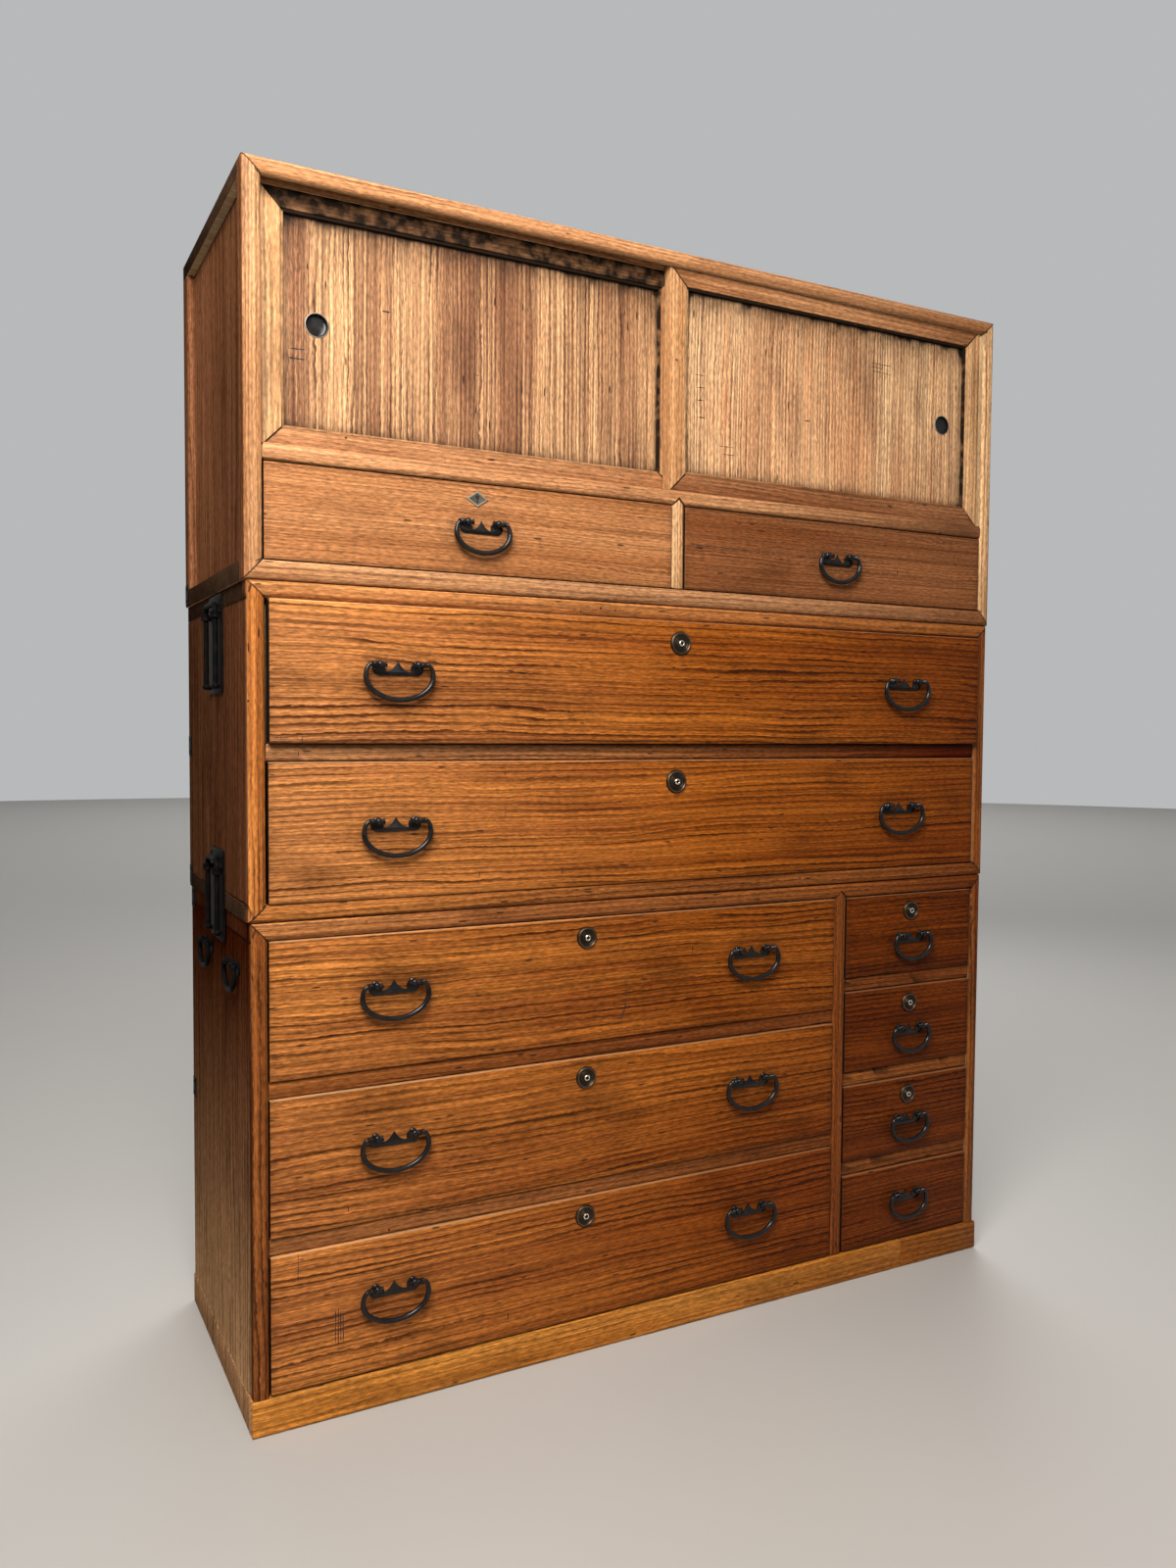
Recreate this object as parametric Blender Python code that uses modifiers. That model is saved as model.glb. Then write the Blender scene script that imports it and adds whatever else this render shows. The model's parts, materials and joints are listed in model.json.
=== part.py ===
"""Kimono chest of three stacked sections, with drawers, sliding doors and black iron pulls.

Metres, +Z up, the front faces -Y. The origin lies under the middle of the whole chest.
Depths in this script are measured back from the front of the cases, under the empty chest_front.
"""

import math
from collections import namedtuple

import bmesh
import bpy
from mathutils import Matrix

# Outside sizes of the three sections
CASE_DEPTH = 0.406
LOWER_WIDTH = 1.206
MIDDLE_SPREAD = 0.005
UPPER_SPREAD = 0.006
MIDDLE_WIDTH = LOWER_WIDTH + MIDDLE_SPREAD
UPPER_WIDTH = MIDDLE_WIDTH + UPPER_SPREAD
LOWER_HEIGHT = 0.638
MIDDLE_HEIGHT = 0.415
UPPER_HEIGHT = 0.497

# Boards of the cases
LOWER_SIDE = 0.021
LOWER_TOP = 0.022
LOWER_BOTTOM = 0.012
MIDDLE_SIDE = 0.022
MIDDLE_TOP = 0.021
MIDDLE_BOTTOM = 0.021
UPPER_SIDE = 0.023
UPPER_TOP = 0.0205
UPPER_BOTTOM = 0.0245
BACK_PANEL = 0.008
BACK_INSET = 0.003
FRONT_ROUND = 0.006
MITRE_DEPTH = 0.024

# Sunk panel in the sides of the upper section
FRONT_POST = 0.028
BACK_POST = 0.032
PANEL_RECESS = 0.010

# Plinth under the lower section
PLINTH_HEIGHT = 0.046
PLINTH_THICKNESS = 0.022
PLINTH_PROUD = 0.002
PLINTH_OVERHANG = 0.0015
PLINTH_ROUND = 0.004
PLINTH_RETURN_HEIGHT = 0.042
DRAWER_FLOOR = 0.048
BACK_FOOT_GAP = 0.010

# Rails between drawers, each with a thin dust board behind it
RAIL_HEIGHT = 0.0215
RAIL_DEPTH = 0.038
RAIL_SETBACK = 0.0045
RAIL_ROUND = 0.0025
DUST_BOARD = 0.007
LOWER_DIVIDER = 0.022
LOWER_DIVIDER_X = 0.306
UPPER_DIVIDER = 0.020
DIVIDER_SETBACK = 0.001
DIVIDER_ROUND = 0.005
HOUSING = 0.002

# Cupboard with two sliding doors
SILL = 0.0215
UPPER_DRAWER_OPENING = 0.118
DOOR_THICKNESS = 0.016
DOOR_FRAME = 0.032
DOOR_BEAD = 0.004
DOOR_BEAD_DEPTH = 0.002
DOOR_PANEL_SINK = 0.007
DOOR_OVERLAP = 0.026
DOOR_SIDE_GAP = 0.001
FRONT_TRACK = 0.009
TRACK_SPACING = 0.019
TRACK_PLAY = 0.0005
SILL_GROOVE = 0.003
TOP_GROOVE = 0.009
DOOR_LIFT = 0.004
CUP_INSET = 0.074
CUP_RADIUS = 0.0155
CUP_RIM = 0.0025
CUP_RISE = 0.0012
CUP_DEPTH = 0.005

# Drawers
DRAWER_SETBACK = 0.001
DRAWER_FRONT = 0.020
DRAWER_WALL = 0.011
DRAWER_BOTTOM = 0.007
DRAWER_SIDE_DROP = 0.006
DRAWER_BACK_GAP = 0.008
DRAWER_CHAMFER = 0.0015
SLIDE_GAP = 0.0012
MIDDLE_SLIDE_GAP = 0.003
TALL_SMALL_OPENING = 0.129
PROUD_DRAWER = 0.008

# Clearances and embedding of joined shapes
JOINT_GAP = 0.0003
EMBED = 0.001
CLEAR = 0.010

# Bail pulls: the bail hangs in two eye posts that stand on a peaked plate
Pull = namedtuple("Pull", "width drop shoulder corner post_x peak")
LARGE_PULL = Pull(width=0.095, drop=0.0475, shoulder=0.0145, corner=0.0075, post_x=0.025, peak=0.0045)
SMALL_PULL = Pull(width=0.082, drop=0.0425, shoulder=0.0130, corner=0.0070, post_x=0.0215, peak=0.0040)
SIDE_PULL = Pull(width=0.070, drop=0.0360, shoulder=0.0110, corner=0.0065, post_x=0.0190, peak=0.0035)
BAIL_STANDOFF = 0.009
BAIL_RADIUS = 0.0034
ARM_RADIUS = 0.0026
KNOB_RADIUS = 0.0040
KNOB_LENGTH = 0.0025
POST_RADIUS = 0.0034
POST_HEAD = 0.0055
POST_TIP = 0.005
EYE_RADIUS = 0.0034
LOBE_RADIUS = 0.0085
PLATE_DROP = 0.0135
PLATE_THICKNESS = 0.002

# Where the pulls and locks sit
UPPER_PULL_RAISE = 0.007
UPPER_LEFT_PULL_X = -0.006
UPPER_RIGHT_PULL_X = -0.011
MIDDLE_PULL_INSET = 0.1855
MIDDLE_PULL_X = MIDDLE_WIDTH / 2 - MIDDLE_PULL_INSET
MIDDLE_PULL_RAISE = 0.012
WIDE_PULL_X = 0.279
WIDE_PULL_RAISE = 0.022
SMALL_PULL_RAISE = -0.002
LAST_PULL_RAISE = 0.015
MIDDLE_LOCK_RADIUS = 0.017
LOWER_LOCK_RADIUS = 0.0155
MIDDLE_LOCK_DROP = 0.032
LOWER_LOCK_DROP = 0.028
LOCK_RISE = 0.0034
LOCK_TUBE_RADIUS = 0.0042
LOCK_TUBE_RISE = 0.005
KEYHOLE_RADIUS = 0.0024
KEYHOLE_FLOOR = 0.0012
DIAMOND_WIDTH = 0.031
DIAMOND_HEIGHT = 0.021
DIAMOND_THICKNESS = 0.0015
DIAMOND_DROP = 0.0205
DIAMOND_X = -0.0115

# Pulls on the outer sides of the lower section
SIDE_PULL_DROP = 0.062
SIDE_PULL_Z = LOWER_HEIGHT - SIDE_PULL_DROP
SIDE_PULL_FRONT = 0.088
SIDE_PULL_BACK = 0.262

# Carrying bars on the outer sides of the middle section, by the height of their plates' lower edges
CarryingBar = namedtuple("CarryingBar", "plate_low plate_height bar_height")
UPPER_PLATE_HEIGHT = 0.130
UPPER_PLATE_DROP = 0.0035
UPPER_PLATE_LOW = MIDDLE_HEIGHT - UPPER_PLATE_DROP - UPPER_PLATE_HEIGHT
UPPER_BAR = CarryingBar(plate_low=UPPER_PLATE_LOW, plate_height=UPPER_PLATE_HEIGHT, bar_height=0.114)
LOWER_BAR = CarryingBar(plate_low=-0.0450, plate_height=0.121, bar_height=0.103)
BAR_PLATE_DEPTH = 0.086
BAR_PLATE_THICKNESS = 0.0025
BAR_PLATE_Y = 0.184
BAR_TOP_DROP = 0.013
BAR_LEG_SPACING = 0.064
BAR_BEND = 0.010
BAR_RADIUS = 0.0035
BAR_STANDOFF = 0.0085
BAR_KNOB_RADIUS = 0.0055
BAR_KNOB_LENGTH = 0.007
COLLAR_RADIUS = 0.0070
COLLAR_HEIGHT = 0.008
COLLAR_BORE = 0.0043

# Fineness of round shapes
ROUND_STEPS = 3
POST_SIDES = 6
LOCK_SIDES = 8
CUP_SIDES = 16
COLLAR_SIDES = 12

# Derived places
BACK_FACE = CASE_DEPTH - BACK_INSET - BACK_PANEL
INNER_DEPTH = BACK_FACE - JOINT_GAP
DRAWER_LENGTH = BACK_FACE - DRAWER_BACK_GAP - DRAWER_SETBACK
FRONT_REACH = PROUD_DRAWER - DRAWER_SETBACK + BAIL_STANDOFF + POST_TIP
FRONT_Y = (FRONT_REACH - CASE_DEPTH) / 2

WOOD, IRON = 0, 1


def new_collection(name):
    collection = bpy.data.collections.new(name)
    bpy.context.scene.collection.children.link(collection)
    return collection


def new_material(name, colour, roughness, metallic):
    material = bpy.data.materials.new(name)
    material.use_nodes = True
    shader = material.node_tree.nodes["Principled BSDF"]
    shader.inputs["Base Color"].default_value = (*colour, 1.0)
    shader.inputs["Roughness"].default_value = roughness
    shader.inputs["Metallic"].default_value = metallic
    return material


for old in list(bpy.data.objects):
    bpy.data.objects.remove(old)
PARTS = new_collection("kimono_chest")
TOOLS = new_collection("kimono_chest_cutters")
DRAWER_WOOD = new_material("drawer_wood", (0.42, 0.19, 0.06), 0.38, 0.0)
FRAME_WOOD = new_material("frame_wood", (0.50, 0.27, 0.10), 0.42, 0.0)
SIDE_WOOD = new_material("side_wood", (0.12, 0.055, 0.022), 0.55, 0.0)
INNER_WOOD = new_material("inner_wood", (0.45, 0.33, 0.20), 0.75, 0.0)
BLACK_IRON = new_material("black_iron", (0.015, 0.014, 0.013), 0.35, 0.85)


# Mesh helpers


def helper(mesh):
    """A wire-only object that holds a mesh while a modifier works on it."""
    obj = bpy.data.objects.new("helper", mesh)
    TOOLS.objects.link(obj)
    obj.hide_render = True
    obj.display_type = "WIRE"
    while isinstance(mesh, bpy.types.Mesh) and len(mesh.materials) <= IRON:
        mesh.materials.append(None)
    return obj


def baked(obj):
    """The object's evaluated mesh, with loose caps welded. The object itself is removed."""
    bpy.context.view_layer.update()
    graph = bpy.context.evaluated_depsgraph_get()
    mesh = bpy.data.meshes.new_from_object(obj.evaluated_get(graph))
    bpy.data.objects.remove(obj)
    work = bmesh.new()
    work.from_mesh(mesh)
    bmesh.ops.remove_doubles(work, verts=work.verts, dist=0.000001)
    work.to_mesh(mesh)
    work.free()
    return mesh


def combined(mesh, operation, tools):
    for tool in tools:
        base = helper(mesh)
        cutter = helper(tool)
        change = base.modifiers.new("combine", "BOOLEAN")
        change.operation = operation
        change.object = cutter
        mesh = baked(base)
        bpy.data.objects.remove(cutter)
    return mesh


def cut(mesh, *tools):
    return combined(mesh, "DIFFERENCE", tools)


def join(mesh, *tools):
    return combined(mesh, "UNION", tools)


def box(low, high, round_along=None, radius=0.0, chamfer=0.0):
    """A box. Its two front edges along one axis can be rounded, or all four front edges chamfered."""
    work = bmesh.new()
    bmesh.ops.create_cube(work, size=1.0)
    for vert in work.verts:
        vert.co = [lo + (co + 0.5) * (hi - lo) for lo, hi, co in zip(low, high, vert.co)]
    front = [e for e in work.edges if all(abs(v.co.y - low[1]) < 1e-7 for v in e.verts)]
    if round_along is not None:
        along = [e for e in front if abs((e.verts[0].co - e.verts[1].co)["xyz".index(round_along)]) > 1e-7]
        bmesh.ops.bevel(work, geom=along, offset=radius, segments=ROUND_STEPS, profile=0.5, affect="EDGES")
    elif chamfer:
        bmesh.ops.bevel(work, geom=front, offset=chamfer, segments=1, profile=0.5, affect="EDGES")
    mesh = bpy.data.meshes.new("box")
    work.to_mesh(mesh)
    work.free()
    return mesh


def flat_plate(outline, thickness):
    """A flat outline in local XY, filled and given thickness along local Z."""
    curve = bpy.data.curves.new("outline", "CURVE")
    curve.dimensions = "2D"
    curve.fill_mode = "BOTH"
    curve.extrude = thickness / 2
    spline = curve.splines.new("POLY")
    spline.points.add(len(outline) - 1)
    for point, (x, y) in zip(spline.points, outline):
        point.co = (x, y, 0.0, 1.0)
    spline.use_cyclic_u = True
    return baked(helper(curve))


def upright_prism(outline, front, back):
    """An outline in X and Z, extruded along Y from front to back."""
    mesh = flat_plate(outline, back - front)
    mesh.transform(Matrix.Translation((0, (front + back) / 2, 0)) @ Matrix.Rotation(math.pi / 2, 4, "X"))
    return mesh


def turned(profile, steps):
    """A profile of (radius, height), from the top of its outer side down, turned about Z."""
    mesh = bpy.data.meshes.new("profile")
    edges = [(i, i + 1) for i in range(len(profile) - 1)]
    mesh.from_pydata([(radius, 0.0, height) for radius, height in profile], edges, [])
    obj = helper(mesh)
    screw = obj.modifiers.new("turn", "SCREW")
    screw.steps = steps
    screw.render_steps = steps
    screw.use_merge_vertices = True
    screw.merge_threshold = 0.00001
    return baked(obj)


def cylinder(radius, low, high, sides):
    return turned([(0.0, high), (radius, high), (radius, low), (0.0, low)], sides)


def moved(mesh, place, turn=None):
    """A copy of the mesh, turned about the origin and then moved."""
    copy = mesh.copy()
    if turn is not None:
        copy.transform(turn)
    copy.transform(Matrix.Translation(place))
    return copy


def mirrored(mesh):
    """The same shape for the right-hand side."""
    mesh.transform(Matrix.Scale(-1.0, 4, (1.0, 0.0, 0.0)))
    mesh.flip_normals()
    return mesh


def painted(mesh, index):
    mesh.polygons.foreach_set("material_index", [index] * len(mesh.polygons))
    return mesh


FACE_FRONT = Matrix.Rotation(math.pi / 2, 4, "X")
FACE_LEFT = Matrix.Rotation(-math.pi / 2, 4, "Z")
ALONG_X = Matrix.Rotation(math.pi / 2, 4, "Y")


# Objects


def empty(name, parent, place):
    obj = bpy.data.objects.new(name, None)
    PARTS.objects.link(obj)
    obj.parent = parent
    obj.location = place
    return obj


def piece(name, data, parent, wood, place=(0.0, 0.0, 0.0), turn=0.0):
    """One named part of the chest, under its parent."""
    obj = bpy.data.objects.new(name, data)
    PARTS.objects.link(obj)
    obj.parent = parent
    obj.location = place
    obj.rotation_euler.z = turn
    while len(data.materials) <= IRON:
        data.materials.append(BLACK_IRON)
    data.materials[WOOD] = wood
    data.materials[IRON] = BLACK_IRON
    if isinstance(data, bpy.types.Mesh):
        data.shade_smooth()
        data.set_sharp_from_angle(angle=math.radians(32))
    return obj


# Iron work


def bail_curve(name, pull):
    """An oval loop whose arms turn inwards through the eyes and end in knobs. Its axis is local X."""
    half = pull.width / 2 - BAIL_RADIUS
    arm = half - pull.corner
    knob_out = pull.post_x - POST_HEAD - JOINT_GAP
    knob_in = knob_out - KNOB_LENGTH
    side = [(knob_in, 0.0, KNOB_RADIUS), (knob_out, 0.0, KNOB_RADIUS)]
    side += [(knob_out + JOINT_GAP, 0.0, ARM_RADIUS), (arm, 0.0, ARM_RADIUS)]
    corner_steps, loop_steps = 3, 8
    for i in range(1, corner_steps + 1):
        turn = math.pi / 2 * i / corner_steps
        radius = ARM_RADIUS + (BAIL_RADIUS - ARM_RADIUS) * i / corner_steps
        side.append((arm + pull.corner * math.sin(turn), -pull.shoulder * (1 - math.cos(turn)), radius))
    depth = pull.drop - BAIL_RADIUS - pull.shoulder
    loop = []
    for i in range(1, loop_steps):
        turn = math.pi * i / loop_steps
        loop.append((-half * math.cos(turn), -pull.shoulder - depth * math.sin(turn), BAIL_RADIUS))
    path = [(-x, z, r) for x, z, r in side] + loop + side[::-1]
    return rod_curve(name, [(x, 0.0, z, r) for x, z, r in path], BAIL_RADIUS, 1)


def rod_curve(name, points, depth, fineness):
    """A round rod along points of (x, y, z, radius)."""
    curve = bpy.data.curves.new(name, "CURVE")
    curve.dimensions = "3D"
    curve.bevel_depth = depth
    curve.bevel_resolution = fineness
    curve.use_fill_caps = True
    spline = curve.splines.new("POLY")
    spline.points.add(len(points) - 1)
    for point, (x, y, z, radius) in zip(spline.points, points):
        point.co = (x, y, z, 1.0)
        point.radius = radius / depth
    return curve


def pull_plate_outline(pull):
    """Straight lower edge, a round lobe under each eye, and concave shoulders that rise to a peak."""
    lobe_z = LOBE_RADIUS - PLATE_DROP
    lobe_steps, shoulder_steps = 6, 3
    first, last = math.radians(-90), math.radians(205)
    right = []
    for i in range(lobe_steps + 1):
        turn = first + (last - first) * i / lobe_steps
        right.append((pull.post_x + LOBE_RADIUS * math.cos(turn), lobe_z + LOBE_RADIUS * math.sin(turn)))
    valley_x, valley_z = right[-1]
    bend_x, bend_z = 0.4 * valley_x, valley_z
    for i in range(1, shoulder_steps):
        t = i / shoulder_steps
        x = (1 - t) ** 2 * valley_x + 2 * t * (1 - t) * bend_x
        z = (1 - t) ** 2 * valley_z + 2 * t * (1 - t) * bend_z + t * t * pull.peak
        right.append((x, z))
    return right + [(0.0, pull.peak)] + [(-x, z) for x, z in right[::-1]]


def pull_mount(pull):
    """The fixed iron of one pull: peaked plate and two eye posts, bored for the bail's arms."""
    plate = upright_prism(pull_plate_outline(pull), -PLATE_THICKNESS, EMBED)
    post = turned(
        [
            (0.0, BAIL_STANDOFF + POST_TIP),
            (0.6 * POST_HEAD, BAIL_STANDOFF + 0.75 * POST_TIP),
            (POST_HEAD, BAIL_STANDOFF),
            (POST_RADIUS, BAIL_STANDOFF - POST_HEAD),
            (POST_RADIUS, -EMBED),
            (0.0, -EMBED),
        ],
        POST_SIDES,
    )
    bore = cylinder(EYE_RADIUS, -2 * POST_HEAD, 2 * POST_HEAD, POST_SIDES)
    bore = moved(bore, (0.0, -BAIL_STANDOFF, 0.0), ALONG_X)
    eye = cut(moved(post, (0.0, 0.0, 0.0), FACE_FRONT), bore)
    mount = join(plate, moved(eye, (-pull.post_x, 0.0, 0.0)), moved(eye, (pull.post_x, 0.0, 0.0)))
    return painted(mount, IRON)


def lock_plate(radius):
    """Round rosette with a raised rim and a short tube round the keyhole, facing -Y."""
    floor = 0.6 * LOCK_RISE
    rim = radius - LOCK_RISE
    mesh = turned(
        [
            (0.0, KEYHOLE_FLOOR),
            (KEYHOLE_RADIUS, KEYHOLE_FLOOR),
            (KEYHOLE_RADIUS, LOCK_TUBE_RISE),
            (LOCK_TUBE_RADIUS, LOCK_TUBE_RISE),
            (LOCK_TUBE_RADIUS, floor),
            (rim - LOCK_RISE / 2, floor),
            (rim, LOCK_RISE),
            (radius, floor),
            (radius, -EMBED),
            (0.0, -EMBED),
        ],
        LOCK_SIDES,
    )
    return painted(moved(mesh, (0.0, 0.0, 0.0), FACE_FRONT), IRON)


def diamond_plate():
    """Flat diamond round the keyhole of the upper left drawer."""
    half_w, half_h = DIAMOND_WIDTH / 2, DIAMOND_HEIGHT / 2
    outline = [(half_w, 0.0), (0.0, half_h), (-half_w, 0.0), (0.0, -half_h)]
    plate = upright_prism(outline, -DIAMOND_THICKNESS, EMBED)
    hole = moved(cylinder(KEYHOLE_RADIUS, 0.0, CLEAR, POST_SIDES), (0.0, 0.0, 0.0), FACE_FRONT)
    return painted(cut(plate, hole), IRON)


# Boards


def mitre_strip(outer, inner, toward, front, back):
    """A cutter on one side of the slanted line through two corners, given in X and Z."""
    (ox, oz), (ix, iz) = outer, inner
    start = (ox + 0.3 * (ox - ix), oz + 0.3 * (oz - iz))
    end = (ix + 0.3 * (ix - ox), iz + 0.3 * (iz - oz))
    far = toward * (abs(oz - iz) * 2 + CLEAR)
    outline = [start, end, (end[0], end[1] + far), (start[0], start[1] + far)]
    return upright_prism(outline, front, back)


def side_board(half, thickness, height, top, bottom):
    """Left side of a case: round front edge, mitred into the boards in front and butted behind."""
    mesh = box((-half, 0.0, 0.0), (-half + thickness, CASE_DEPTH, height), "z", FRONT_ROUND)
    ends = [(height, top, -1)] if bottom is None else [(height, top, -1), (0.0, bottom, 1)]
    for end, board, inward in ends:
        gap = inward * JOINT_GAP
        outer = (-half, end + gap)
        inner = (-half + thickness, end + inward * board + gap)
        reach = end + inward * board + 2 * gap
        low = (-half - CLEAR, MITRE_DEPTH, min(reach, reach - inward * (board + CLEAR)))
        high = (0.0, CASE_DEPTH + CLEAR, max(reach, reach - inward * (board + CLEAR)))
        mesh = cut(mesh, box(low, high), mitre_strip(outer, inner, -inward, -CLEAR, MITRE_DEPTH + EMBED))
    return mesh


def cross_board(half, thickness, low, high, side, outer_is_high):
    """Top or bottom board of a case: full width behind, mitred at the front corners."""
    mesh = box((-half, 0.0, low), (half, CASE_DEPTH, high), "x", FRONT_ROUND)
    outer_z, inner_z = (high, low) if outer_is_high else (low, high)
    toward = -1 if outer_is_high else 1
    trim = -toward * JOINT_GAP / 3
    for sign in (-1, 1):
        outer = (sign * half, outer_z + trim)
        inner = (sign * (half - side), inner_z + trim)
        mesh = cut(mesh, mitre_strip(outer, inner, toward, -CLEAR, MITRE_DEPTH + JOINT_GAP))
    return mesh


def gable_notch(x, width, base):
    """The V cut under a rail that takes the pointed top of a divider."""
    half = width / 2
    outline = [(x - half, base), (x - half, base - CLEAR), (x + half, base - CLEAR), (x + half, base)]
    outline.append((x, base + half))
    return upright_prism(outline, -CLEAR, MITRE_DEPTH + JOINT_GAP)


def divider_board(x, width, low, base):
    """Upright between drawers. In front its top is a gable that dies into the rail above."""
    half = width / 2
    low_corner = (x - half, DIVIDER_SETBACK, low)
    mesh = box(low_corner, (x + half, INNER_DEPTH, base + half), "z", DIVIDER_ROUND)
    behind = box((x - width, MITRE_DEPTH, base - JOINT_GAP), (x + width, CASE_DEPTH, base + width))
    slopes = []
    for sign in (-1, 1):
        foot = (x + sign * half, base - JOINT_GAP)
        peak = (x, base + half - JOINT_GAP)
        slopes.append(mitre_strip(foot, peak, 1, -CLEAR, MITRE_DEPTH + EMBED))
    return cut(mesh, behind, *slopes)


def rail_board(low_x, high_x, top):
    """Rail across the front with a thin dust board behind it, level with its top."""
    bottom = top - RAIL_HEIGHT
    mesh = box((low_x, RAIL_SETBACK, bottom), (high_x, INNER_DEPTH, top), "x", RAIL_ROUND)
    under = box(
        (low_x - CLEAR, RAIL_SETBACK + RAIL_DEPTH, bottom - CLEAR),
        (high_x + CLEAR, CASE_DEPTH, top - DUST_BOARD),
    )
    return cut(mesh, under)


def back_panel(half, side, low, high):
    inner = half - side - JOINT_GAP
    return box((-inner, BACK_FACE, low + JOINT_GAP), (inner, BACK_FACE + BACK_PANEL, high - JOINT_GAP))


# Drawers

Fitting = namedtuple("Fitting", "mesh x z")


def drawer(name, case, span, low, opening, gap, fittings, proud=0.0):
    """An open box with its iron. The origin is in the middle of the front face."""
    low_x, high_x = span
    half_w = (high_x - low_x) / 2 - gap
    half_h = (opening - JOINT_GAP - SLIDE_GAP) / 2
    centre = ((low_x + high_x) / 2, DRAWER_SETBACK - proud, low + JOINT_GAP + half_h)
    mesh = box((-half_w, 0.0, -half_h), (half_w, DRAWER_LENGTH, half_h), chamfer=DRAWER_CHAMFER)
    over = box(
        (-half_w - CLEAR, DRAWER_FRONT, half_h - DRAWER_SIDE_DROP),
        (half_w + CLEAR, DRAWER_LENGTH + CLEAR, half_h + CLEAR),
    )
    inside = box(
        (DRAWER_WALL - half_w, DRAWER_FRONT, DRAWER_BOTTOM - half_h),
        (half_w - DRAWER_WALL, DRAWER_LENGTH - DRAWER_WALL, half_h + CLEAR),
    )
    mesh = cut(mesh, over, inside)
    for fitting in fittings:
        mesh = join(mesh, moved(fitting.mesh, (fitting.x, 0.0, fitting.z)))
    return piece(name, mesh, case, DRAWER_WOOD, centre)


def bail(name, owner, curve, x, z):
    return piece(name, curve, owner, BLACK_IRON, (x, -BAIL_STANDOFF, z))


# Sections


def lower_section(case):
    half = LOWER_WIDTH / 2
    height = LOWER_HEIGHT - JOINT_GAP
    inner = half - LOWER_SIDE
    ceiling = height - LOWER_TOP
    divider_left = LOWER_DIVIDER_X - LOWER_DIVIDER / 2
    divider_right = LOWER_DIVIDER_X + LOWER_DIVIDER / 2

    plinth_half = half + PLINTH_OVERHANG
    plinth_back = (plinth_half, PLINTH_THICKNESS, PLINTH_HEIGHT)
    plinth = box((-plinth_half, -PLINTH_PROUD, 0.0), plinth_back, "x", PLINTH_ROUND)
    piece("plinth", plinth, case, FRAME_WOOD)

    for hand, flip in (("left", False), ("right", True)):
        side = side_board(half, LOWER_SIDE, height, LOWER_TOP, None)
        over_plinth = box(
            (-half - CLEAR, -CLEAR, -CLEAR), (0.0, PLINTH_THICKNESS + JOINT_GAP, PLINTH_HEIGHT + JOINT_GAP)
        )
        plinth_return = box(
            (-plinth_half, PLINTH_THICKNESS + JOINT_GAP + EMBED, EMBED),
            (EMBED - half, CASE_DEPTH - EMBED, PLINTH_RETURN_HEIGHT),
        )
        side = join(cut(side, over_plinth), plinth_return)
        for y in (SIDE_PULL_FRONT, SIDE_PULL_BACK):
            side = join(side, moved(SIDE_MOUNT, (-half, y, SIDE_PULL_Z), FACE_LEFT))
        side = mirrored(side) if flip else side
        piece(f"lower_{hand}_side", side, case, SIDE_WOOD)
        sign = 1 if flip else -1
        for where, y in (("front", SIDE_PULL_FRONT), ("back", SIDE_PULL_BACK)):
            place = (sign * (half + BAIL_STANDOFF), y, SIDE_PULL_Z)
            piece(f"{hand}_side_bail_{where}", SIDE_BAIL, case, BLACK_IRON, place, sign * math.pi / 2)

    top = cross_board(half, LOWER_TOP, ceiling, height, LOWER_SIDE, True)
    piece("lower_top", cut(top, gable_notch(LOWER_DIVIDER_X, LOWER_DIVIDER, ceiling)), case, FRAME_WOOD)
    reach = inner - JOINT_GAP
    bottom_front = PLINTH_THICKNESS + JOINT_GAP
    bottom = box((-reach, bottom_front, DRAWER_FLOOR - LOWER_BOTTOM), (reach, INNER_DEPTH, DRAWER_FLOOR))
    piece("lower_bottom", bottom, case, INNER_WOOD)
    piece("lower_back", back_panel(half, LOWER_SIDE, BACK_FOOT_GAP, ceiling), case, INNER_WOOD)

    small_openings = [TALL_SMALL_OPENING, TALL_SMALL_OPENING]
    rest = ceiling - DRAWER_FLOOR - 3 * RAIL_HEIGHT - 2 * TALL_SMALL_OPENING
    small_openings += [rest / 2, rest / 2]
    frame = divider_board(LOWER_DIVIDER_X, LOWER_DIVIDER, DRAWER_FLOOR + JOINT_GAP, ceiling)
    small_span = (divider_right, inner)
    rail_top = ceiling
    small_floors = []
    for opening in small_openings:
        small_floors.append(rail_top - opening)
        rail_top -= opening
        if len(small_floors) < len(small_openings):
            frame = join(frame, rail_board(divider_right - HOUSING, inner - JOINT_GAP, rail_top))
            rail_top -= RAIL_HEIGHT
    piece("small_bay_frame", frame, case, FRAME_WOOD)

    wide_count = 3
    wide_opening = (ceiling - DRAWER_FLOOR - (wide_count - 1) * RAIL_HEIGHT) / wide_count
    wide_span = (-inner, divider_left)
    lock_z = wide_opening / 2 - LOWER_LOCK_DROP
    for i in range(wide_count):
        floor = ceiling - (i + 1) * wide_opening - i * RAIL_HEIGHT
        if i < wide_count - 1:
            rail = rail_board(-inner + JOINT_GAP, divider_left - JOINT_GAP, floor)
            piece(f"wide_rail_{i + 1}", rail, case, FRAME_WOOD)
        fittings = [
            Fitting(LARGE_MOUNT, -WIDE_PULL_X, WIDE_PULL_RAISE),
            Fitting(LARGE_MOUNT, WIDE_PULL_X, WIDE_PULL_RAISE),
            Fitting(LOWER_LOCK, 0.0, lock_z),
        ]
        box_name = f"wide_drawer_{i + 1}"
        owner = drawer(box_name, case, wide_span, floor, wide_opening, SLIDE_GAP, fittings)
        bail(f"{box_name}_bail_left", owner, LARGE_BAIL, -WIDE_PULL_X, WIDE_PULL_RAISE)
        bail(f"{box_name}_bail_right", owner, LARGE_BAIL, WIDE_PULL_X, WIDE_PULL_RAISE)

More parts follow.
